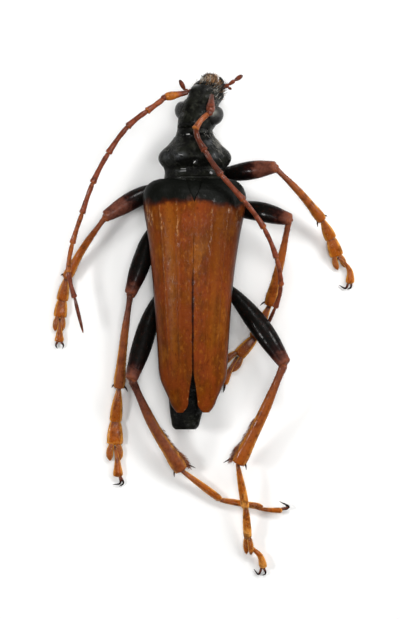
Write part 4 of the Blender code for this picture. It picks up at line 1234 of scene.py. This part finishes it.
def rims(rings):
    """How near each point of a tube is to its two sides as seen from above, 0 to 1: where the painted rim
    glow lies.
    """
    away = np.linalg.norm((rings - rings.mean(axis=1, keepdims=True))[..., :2], axis=-1)
    return smooth(0.58, 0.92, away / away.max(axis=1, keepdims=True))


def foot_patches(leg):
    """A foot's soft parts, brightest at their far rims with a painted glow, and with painted shade at their
    bases where each meets the one before.
    """
    soft = []
    for (low, high), (rings, at) in zip(FOOT_SHADES, foot_parts(leg)):
        # Brighter towards the far rim, partly as painted glow, and painted shade at the base where each part
        # meets the one before.
        rust = leg["glow"] + low + (high - low) * smooth(0.3, 0.95, at) - 0.3 * smooth(0.2, 0.03, at)
        # A painted glow on the far rim.
        rust = rust + 0.12 * smooth(0.93, 0.98, at)
        soft.append(closed_skin(rings, rust=rust[:, None], rim=0.75 * rims(rings)))
    return soft


def claw_patches(leg):
    """A foot's two hooked claws, rooted in the end of its last piece."""
    end = leg["last"][-1]
    inwards = unit(end - leg["last"][-2])
    claws = []
    for bend, tip in leg["claws"]:
        aside = (bend - end) - ((bend - end) @ inwards) * inwards
        root = end - 0.12 * inwards + 0.12 * unit(aside)
        rings, at = tube([root, bend, tip], CLAW_PROFILE, 30, 12, up=leg["up"], ends=(0.03, 0.03))
        claws.append(closed_skin(rings, rust=(0.4 - 0.34 * smooth(0.1, 0.7, at))[:, None]))
    return claws


# Pale flakes stuck to the neck, some of them put as painted highlights on its knobs and collar: place, half
# length, half width and turn in degrees.
FLAKES = (
    (0.16, 1.33, 0.16, 0.04, 50),
    (-0.42, 3.5, 0.15, 0.035, 4),
    (1.36, 0.5, 0.15, 0.08, -35),
    (-0.78, 0.62, 0.26, 0.035, 3),
    (-0.74, 0.78, 0.22, 0.03, -2),
    (-0.95, 1.85, 0.2, 0.03, -14),
)


def flake_patch(grid, x, y, half_length, half_width, turn):
    """A thin scale that lies on the top of a skin at a place."""
    upper = grid[..., 2] > grid[..., 2].mean(axis=1, keepdims=True)
    apart = np.hypot(grid[..., 0] - x, grid[..., 1] - y) + 100 * ~upper
    foot = grid.reshape(-1, 3)[apart.argmin()] + (0, 0, 0.02)
    way = half_length * np.array([math.cos(math.radians(turn)), math.sin(math.radians(turn)), 0])
    path = [foot - way, foot + (0, 0, 0.03), foot + way]
    rings, _ = tube(path, [(0, half_width, 0.02), (1, half_width, 0.02)], 12, 12, ends=(0.3, 0.3))
    return closed_skin(rings)


# Hairs

LEAST_CLEAR = 0.09  # hairs that would end lower than this above the floor are left out
# Coats: how many hairs, their length and radius, and how far they stand off. On a shin the length
# is a share of a bristle's.
FEELER_COAT = (90, 0.1, 0.009, 0.4)
BEAD_COAT = (8, 0.1, 0.009, 0.4)
THIGH_COAT = (160, 0.12, 0.007, 0.3)
PAD_COAT = (150, 0.12, 0.006, 0.25)
LAST_PIECE_COAT = (60, 0.12, 0.006, 0.25)
SHIN_COAT = (380, 0.7, 0.008, 0.35)
# Thicker coats on a shin's inner side, each with its name and where along it lies. The fringe and
# the tuft are on hind shins alone.
SHIN_BRUSHES = (
    ("brush", (0.6, 0.99), (200, 0.9, 0.011, 0.8)),
    ("fringe", (0.55, 0.85), (900, 1.5, 0.012, 0.9)),
    ("tuft", (0.8, 0.95), (1300, 2.0, 0.014, 1.1)),
)


def bake_places(grid, i, j, row, rows):
    """Places on the bake map: each coat has its own row, along its skin in u and round it in v."""
    return np.stack([i / grid.shape[0], (row + 0.1 + 0.8 * j / grid.shape[1]) / rows], -1)


def coat_on(rings, name, coat, row, rows, band=(0.05, 0.98), scale=1.0, facing=None):
    """Hairs on a tube's skin: roots drawn at random, lying along it and standing off by the lift.

    A facing direction keeps only hairs on that side.
    """
    draw = seeded(name)
    count, length, radius, lift = coat
    i = (draw.uniform(*band, count) * (rings.shape[0] - 1)).astype(int)
    j = draw.integers(0, rings.shape[1], count)
    normals = grid_normals(rings)
    if facing is not None:
        kept = normals[i, j] @ unit(facing) > draw.uniform(0.2, 0.8, count)
        i, j = i[kept], j[kept]
    out = normals[i, j]
    along = unit(np.gradient(rings, axis=0)[i, j])
    ways = unit(out * lift + along + draw.normal(0, 0.12, out.shape))
    lengths = length * scale * draw.uniform(0.65, 1.25, len(i))
    high = rings[i, j, 2] + lengths * np.minimum(ways[:, 2], 0) > LEAST_CLEAR
    i, j, out, along, ways, lengths = (values[high] for values in (i, j, out, along, ways, lengths))
    bend = along * 0.25 - out * 0.12
    return hairs(rings[i, j] - out * radius, ways, lengths, radius, bend, bake_places(rings, i, j, row, rows))


# Settings


def size_property(name, description, default):
    """A size in millimetres that a user can change."""
    return bpy.props.FloatProperty(
        name=name, description=description + ", in millimetres", default=default, min=0.0, precision=3)


def power_property(name, place, default):
    """The power of a lamp."""
    return bpy.props.FloatProperty(
        name=name, description="Power of the lamp " + place, default=default, min=0.0, unit="POWER")


def colour_property(name, description, default):
    """A colour that a user can change."""
    return bpy.props.FloatVectorProperty(
        name=name, description=description, default=default, subtype="COLOR", size=3, min=0.0, max=1.0)


class BeetleSizes(bpy.types.PropertyGroup):
    """Sizes of the beetle's fine parts."""

    shell: size_property("Wing Case Thickness", "Thickness of an elytron", 0.28)
    rib_height: size_property("Rib Height", "How far the ribs of an elytron stand up", 0.06)
    antenna: size_property("Feeler Radius", "Radius of the thickest piece of a feeler", 0.265)
    palp: size_property("Palp Radius", "Radius of a mouth feeler", 0.19)
    bristle: size_property("Bristle Length", "Length of the bristles of a leg", 0.22)


class BeetleLooks(bpy.types.PropertyGroup):
    """Colours of the beetle's cuticle and hairs."""

    black: colour_property("Black", "Head, neck, thighs and belly", (0.0035, 0.0035, 0.003))
    amber: colour_property("Amber", "The wing cases", (0.16, 0.036, 0.002))
    amber_dark: colour_property("Dark Amber", "Streaks and pits of the wing cases", (0.095, 0.022, 0.0025))
    amber_light: colour_property("Light Amber", "Worn places of the wing cases", (0.27, 0.088, 0.009))
    amber_red: colour_property("Red Amber", "Blushes of the wing cases", (0.185, 0.033, 0.006))
    red_brown: colour_property("Red-Brown", "Knees", (0.135, 0.045, 0.029))
    rust: colour_property("Rust", "Shins", (0.28, 0.071, 0.014))
    orange: colour_property("Orange", "Feet", (0.34, 0.078, 0.005))
    # Colour of the painted glow along the rims of the shins and feet.
    glow: colour_property("Glow", "Thin rims of the shins and feet", (0.8, 0.37, 0.055))
    # The palest colour, reached at the painted glow on the far rims of the feet.
    pale_rust: colour_property("Pale Orange", "Thin edges of the feet", (0.7, 0.3, 0.06))
    pale_hair: colour_property("Pale Hair", "Hairs of the mouth, feet and flanks", (0.62, 0.45, 0.25))


class BeetleStage(bpy.types.PropertyGroup):
    """The floor, the lights and the camera."""

    floor: colour_property("Floor", "The card that the specimen lies on", (0.93, 0.93, 0.92))
    top: power_property("Top Light", "above the head end", 0.03)
    overhead: power_property("Overhead Light", "overhead", 0.35)
    left: power_property("Left Light", "at the left", 0.0225)
    corner: power_property("Corner Light", "at the front right", 0.038)
    right: power_property("Right Light", "low at the right", 0.066)
    tent: bpy.props.FloatProperty(
        name="Tent", description="Brightness of the white tent all round", default=0.03, min=0.0)
    lens: bpy.props.FloatProperty(
        name="Lens", description="Focal length of the camera", default=LENS, min=10.0, unit="CAMERA")


# Operators


class BEETLE_OT_trunk(bpy.types.Operator):
    """Builds the knobbed neck ring, the thorax, the abdomen, the hips and the small shield"""

    bl_idname = "beetle.trunk"
    bl_label = "Trunk"

    def execute(self, context):
        neck = pronotum_grid()
        piece("skin_pronotum", closed_skin(neck, dust=sheen_and_dust_share(neck)), ["pronotum"])
        flakes = merged([flake_patch(neck, *flake) for flake in FLAKES])
        piece("dust_flakes", flakes, look="pale_flake")
        piece("skin_thorax", closed_skin(thorax_grid()), ["thorax"])
        piece("skin_abdomen", closed_skin(abdomen_grid()), ["abdomen"])
        shield = closed_skin(scutellum_grid(), black=SHIELD_BLACK)
        piece("skin_scutellum", shield, ["scutellum"], "elytra_cuticle")
        for pair, (centre, halves) in COXAE.items():
            for side, word in SIDES:
                patch = coxa_patch(centre, halves, side)
                piece(f"skin_coxa_{pair}_{word}", patch, [f"leg_{pair}_{word}_coxa"])
        return {"FINISHED"}


class BEETLE_OT_elytra(bpy.types.Operator):
    """Builds the two ribbed amber wing cases"""

    bl_idname = "beetle.elytra"
    bl_label = "Wing Cases"

    def execute(self, context):
        for side, word in SIDES:
            patch = elytron_patch(side, context.scene.beetle_sizes.shell)
            piece(f"skin_elytron_{word}", patch, [f"elytron_{word}"], "elytra_cuticle", sharp=50)
        return {"FINISHED"}


class BEETLE_OT_head(bpy.types.Operator):
    """Builds the head, its eyes and its mouthparts"""

    bl_idname = "beetle.head"
    bl_label = "Head"

    def execute(self, context):
        radius = context.scene.beetle_sizes.palp
        points, horn = head_grid()
        piece("skin_head", closed_skin(points, horn=horn), ["head"])
        piece("skin_labrum", closed_skin(labrum_grid()), ["labrum"], "mouth_plate")
        for side, word in SIDES:
            piece(f"skin_eye_{word}", eye_patch(side), [f"eye_{word}"], "eye_facets")
            piece(f"skin_mandible_{word}", mandible_patch(side), [f"mandible_{word}"])
            palps = merged([palp_patch(PALPS[word], radius), palp_patch(LABIAL_PALPS[word], 0.6 * radius)])
            piece(f"skin_palp_{word}", palps, [f"palp_{word}"], "feeler_cuticle")
        return {"FINISHED"}


class BEETLE_OT_antennae(bpy.types.Operator):
    """Builds the two feelers of eleven pieces each, with their short bristles"""

    bl_idname = "beetle.antennae"
    bl_label = "Feelers"

    def execute(self, context):
        coats = []
        for row, word in enumerate(ANTENNAE):
            made = antenna_pieces(word, context.scene.beetle_sizes.antenna)
            for part, first, last in ANTENNA_LENGTHS:
                name = f"antenna_{word}_{part}"
                patch = merged([skin for skin, _ in made[first:last]])
                piece(f"skin_{name}", patch, [name], "feeler_cuticle")
            for i, (_, rings) in enumerate(made):
                coat = BEAD_COAT if i == 1 else FEELER_COAT
                coats.append(coat_on(rings, f"{word} feeler {i}", coat, row * len(made) + i, 2 * len(made)))
        hair_piece("hair_antennae", coats, "brown_hair")
        return {"FINISHED"}


LEG_PIECES = (
    ("femur", "black_cuticle", femur_patches),
    ("tibia", "rust_cuticle", tibia_patches),
    ("tarsus", "rust_cuticle", foot_patches),
)


class BEETLE_OT_legs(bpy.types.Operator):
    """Builds the six legs: thighs, shins with their spurs, feet and claws"""

    bl_idname = "beetle.legs"
    bl_label = "Legs"

    def execute(self, context):
        for word, leg in LEGS.items():
            for part, slot, patches in LEG_PIECES:
                name = f"leg_{word}_{part}"
                piece(f"skin_{name}", merged(patches(leg)), [name], "leg_cuticle")
            piece(f"skin_leg_{word}_claws", merged(claw_patches(leg)), look="leg_cuticle")
        return {"FINISHED"}


class BEETLE_OT_leg_hairs(bpy.types.Operator):
    """Builds the bristles of the legs: sparse on thighs, dense on shins and in a brush at their ends"""

    bl_idname = "beetle.leg_hairs"
    bl_label = "Leg Hairs"

    def execute(self, context):
        bristle, legs = context.scene.beetle_sizes.bristle, len(LEGS)
        dark, brown, pale = [], [], []
        for row, (word, leg) in enumerate(LEGS.items()):
            rings, _ = femur_rings(leg)
            dark.append(coat_on(rings, f"{word} thigh", THIGH_COAT, row, legs))
            rings, _ = tibia_rings(leg)
            brown.append(coat_on(rings, f"{word} shin", SHIN_COAT, 2 * row, 2 * legs, scale=bristle))
            for name, band, coat in SHIN_BRUSHES[: 3 if word.startswith("hind") else 1]:
                brown.append(coat_on(rings, f"{word} {name}", coat, 2 * row + 1, 2 * legs,
                                     band, bristle, inner_side(leg)))
            parts = foot_parts(leg)
            for i, (part, _) in enumerate(parts):
                coat = LAST_PIECE_COAT if i == len(parts) - 1 else PAD_COAT
                pale.append(coat_on(part, f"{word} foot {i}", coat, len(parts) * row + i, len(parts) * legs,
                                    band=(0.15, 0.99)))
        hair_piece("hair_thighs", dark, "dark_hair")
        hair_piece("hair_shins", brown, "brown_hair")
        hair_piece("hair_feet", pale, "pale_hair")
        return {"FINISHED"}


def patch_coat(grid, row, rows, name, count, centre, spread, length, radius, way, lift):
    """Hairs rooted on a grid near a centre, thinning out over the spread, all leaning one way."""
    draw = seeded(name)
    share = bell(grid, centre, spread)[..., 0].ravel()
    flat = draw.choice(share.size, count, p=share / share.sum())
    i, j = np.unravel_index(flat, grid.shape[:2])
    out = grid_normals(grid)[i, j]
    ways = out * lift + unit(way) + draw.normal(0, 0.22, out.shape)
    lengths = length * draw.uniform(0.6, 1.3, count)
    bend = unit(way) * 0.2 - out * 0.15
    return hairs(grid[i, j] - out * radius, ways, lengths, radius, bend, bake_places(grid, i, j, row, rows))


# Patches of hair: skin, name, count, place, spread, length, radius, way and lift. Places and ways
# on the head and lip are in the head's own frame.
HAIR_PATCHES = {
    ("hair_mouth", "gold_hair", "mouthparts"): (
        ("head", "brow", 70, (0.3, 4.0, 0.5), (0.5, 0.3, 0.3), 0.36, 0.012, (0.3, 1, 0), 0.35),
        ("lip", "lip", 110, (0, 4.6, 0.2), (0.6, 0.4, 0.4), 0.34, 0.013, (0, 1, -0.4), 0.4),
        ("head", "cheek right", 45, (1.1, 3.5, 0), (0.3, 0.4, 0.5), 0.26, 0.009, (1, 1, 0), 0.6),
        ("head", "cheek left", 25, (-1.1, 3.5, 0), (0.3, 0.4, 0.5), 0.2, 0.008, (-1, 1, 0), 0.5),
    ),
    ("hair_lip", "silver_hair", "mouthparts"): (
        ("head", "lip stripes", 34, (-0.35, 4.0, 0.4), (0.38, 0.26, 0.3), 0.44, 0.024, (0, 1, -0.2), 0.14),
        ("head", "brow right", 60, (0.82, 3.1, 0.65), (0.28, 0.55, 0.45), 0.24, 0.012, (0.6, 1, 0), 0.25),
    ),
    ("hair_jaw", "dark_hair", "black_cuticle"): (
        ("lip", "lip edge", 130, (0, 4.75, 0.2), (0.7, 0.25, 0.35), 0.34, 0.024, (-0.9, 0.4, -0.3), 0.35),
        ("head", "cheek", 60, (0.8, 3.9, 0.05), (0.35, 0.35, 0.4), 0.46, 0.022, (1, 1, 0), 0.5),
    ),
    ("hair_body", "silver_hair", "black_cuticle"): (
        ("neck", "neck right", 170, (1.8, 2.7, 4.3), (0.5, 0.45, 0.6), 0.36, 0.0085, (0.6, -1, 0), 0.3),
        ("neck", "neck left", 60, (-1.9, 2.9, 4.1), (0.45, 0.5, 0.6), 0.2, 0.0045, (-0.5, -1, 0), 0.4),
        ("belly", "belly", 500, (-0.2, -13.0, 1.0), (1.2, 4.0, 0.5), 0.2, 0.006, (0, -1, 0), 0.4),
    ),
}


class BEETLE_OT_body_hairs(bpy.types.Operator):
    """Builds the bristles of the mouth and the silvery down of the neck and belly"""

    bl_idname = "beetle.body_hairs"
    bl_label = "Body Hairs"

    def execute(self, context):
        skins = {
            "head": head_grid()[0],
            "lip": labrum_grid(),
            "neck": pronotum_grid(),
            "belly": abdomen_grid(),
        }
        for (name, look, slot), patches in HAIR_PATCHES.items():
            coats = []
            for row, (skin, title, count, place, spread, length, radius, way, lift) in enumerate(patches):
                if skin in ("head", "lip"):
                    place, way = in_head(place), way @ HEAD_TURN
                coats.append(patch_coat(skins[skin], row, len(patches), title, count, place, spread,
                                        length, radius, way, lift))
            hair_piece(name, coats, look)
        return {"FINISHED"}


# Each lamp, in metres: place, how far behind the middle it aims, and size.
LAMPS = {
    "top": ((0.004, 0.075, 0.07), 0.003, 0.026),
    "overhead": ((0.02, 0.0, 0.3), 0.005, 0.12),
    "left": ((-0.055, -0.004, 0.05), 0.003, 0.014),
    "corner": ((0.05, 0.06, 0.07), 0.003, 0.03),
    "right": ((0.1, 0.02, 0.06), 0.005, 0.05),
}
HALF_CARD = 1500.0  # half the side of the floor's card, in millimetres


def area_light(name, place, behind, size, power):
    """A square lamp that faces a point a little behind the middle of the floor."""
    data = bpy.data.lights.new(name, "AREA")
    data.size, data.energy = size, power
    lamp = bpy.data.objects.new(name, data)
    lamp.location = place
    lamp.rotation_mode = "QUATERNION"
    lamp.rotation_quaternion = (Vector((0, -behind, 0)) - Vector(place)).to_track_quat("-Z", "Y")
    bpy.context.scene.collection.objects.link(lamp)


def camera_above(scene, lens):
    """The camera, straight above the middle of the photo's frame, as far away as its lens asks."""
    data = bpy.data.cameras.new("camera")
    data.lens, data.sensor_width = lens, SENSOR
    data.clip_start, data.clip_end = 0.01, 10.0
    camera = bpy.data.objects.new("camera", data)
    camera.location = (FRAME_MIDDLE + (0, 0, FRAME_TALL * lens / SENSOR)) * MM + ORIGIN
    scene.collection.objects.link(camera)
    scene.camera = camera


class BEETLE_OT_stage(bpy.types.Operator):
    """Builds the white card, the soft lights and the camera above the beetle"""

    bl_idname = "beetle.stage"
    bl_label = "Stage"

    def execute(self, context):
        scene, stage = context.scene, context.scene.beetle_stage
        corners = HALF_CARD * np.array([(-1, -1, 0), (1, -1, 0), (1, 1, 0), (-1, 1, 0)])
        card = mesh_object("floor", corners, np.array([[0, 1, 2], [0, 2, 3]]), {}, once("floor_card"))
        for key, lamp in LAMPS.items():
            area_light(f"{key} light", *lamp, getattr(stage, key))
        world = bpy.data.worlds.new("white tent")
        world.use_nodes = True
        tent = world.node_tree.nodes["Background"].inputs
        tent["Color"].default_value, tent["Strength"].default_value = (1, 1, 1, 1), stage.tent
        scene.world = world
        scene.view_settings.view_transform = "Standard"
        camera_above(scene, stage.lens)
        return {"FINISHED"}


class BEETLE_PT_panel(bpy.types.Panel):
    """Lists the beetle's pieces and settings"""

    bl_idname = "BEETLE_PT_panel"
    bl_label = "Long-Horned Beetle"
    bl_space_type = "VIEW_3D"
    bl_region_type = "UI"
    bl_category = "Beetle"

    def draw(self, context):
        layout = self.layout
        for group in (context.scene.beetle_sizes, context.scene.beetle_looks, context.scene.beetle_stage):
            box = layout.box()
            for key in group.__annotations__:
                box.prop(group, key)
        for operator in OPERATORS:
            layout.operator(operator.bl_idname)


GROUPS = {"beetle_sizes": BeetleSizes, "beetle_looks": BeetleLooks, "beetle_stage": BeetleStage}
OPERATORS = (BEETLE_OT_trunk, BEETLE_OT_elytra, BEETLE_OT_head, BEETLE_OT_antennae, BEETLE_OT_legs,
             BEETLE_OT_leg_hairs, BEETLE_OT_body_hairs, BEETLE_OT_stage)
CLASSES = (*GROUPS.values(), *OPERATORS, BEETLE_PT_panel)


def register():
    """Makes the classes and the scene's settings known."""
    for made in CLASSES:
        bpy.utils.register_class(made)
    for key, group in GROUPS.items():
        setattr(bpy.types.Scene, key, bpy.props.PointerProperty(type=group))


def unregister():
    """Takes back what register did."""
    for key in GROUPS:
        delattr(bpy.types.Scene, key)
    for made in reversed(CLASSES):
        bpy.utils.unregister_class(made)


def main():
    """Builds every piece and the stage."""
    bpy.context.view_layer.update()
    register()
    bpy.ops.beetle.trunk()
    bpy.ops.beetle.elytra()
    bpy.ops.beetle.head()
    bpy.ops.beetle.antennae()
    bpy.ops.beetle.legs()
    bpy.ops.beetle.leg_hairs()
    bpy.ops.beetle.body_hairs()
    bpy.ops.beetle.stage()
    bpy.context.view_layer.update()


if __name__ == "__main__":
    main()
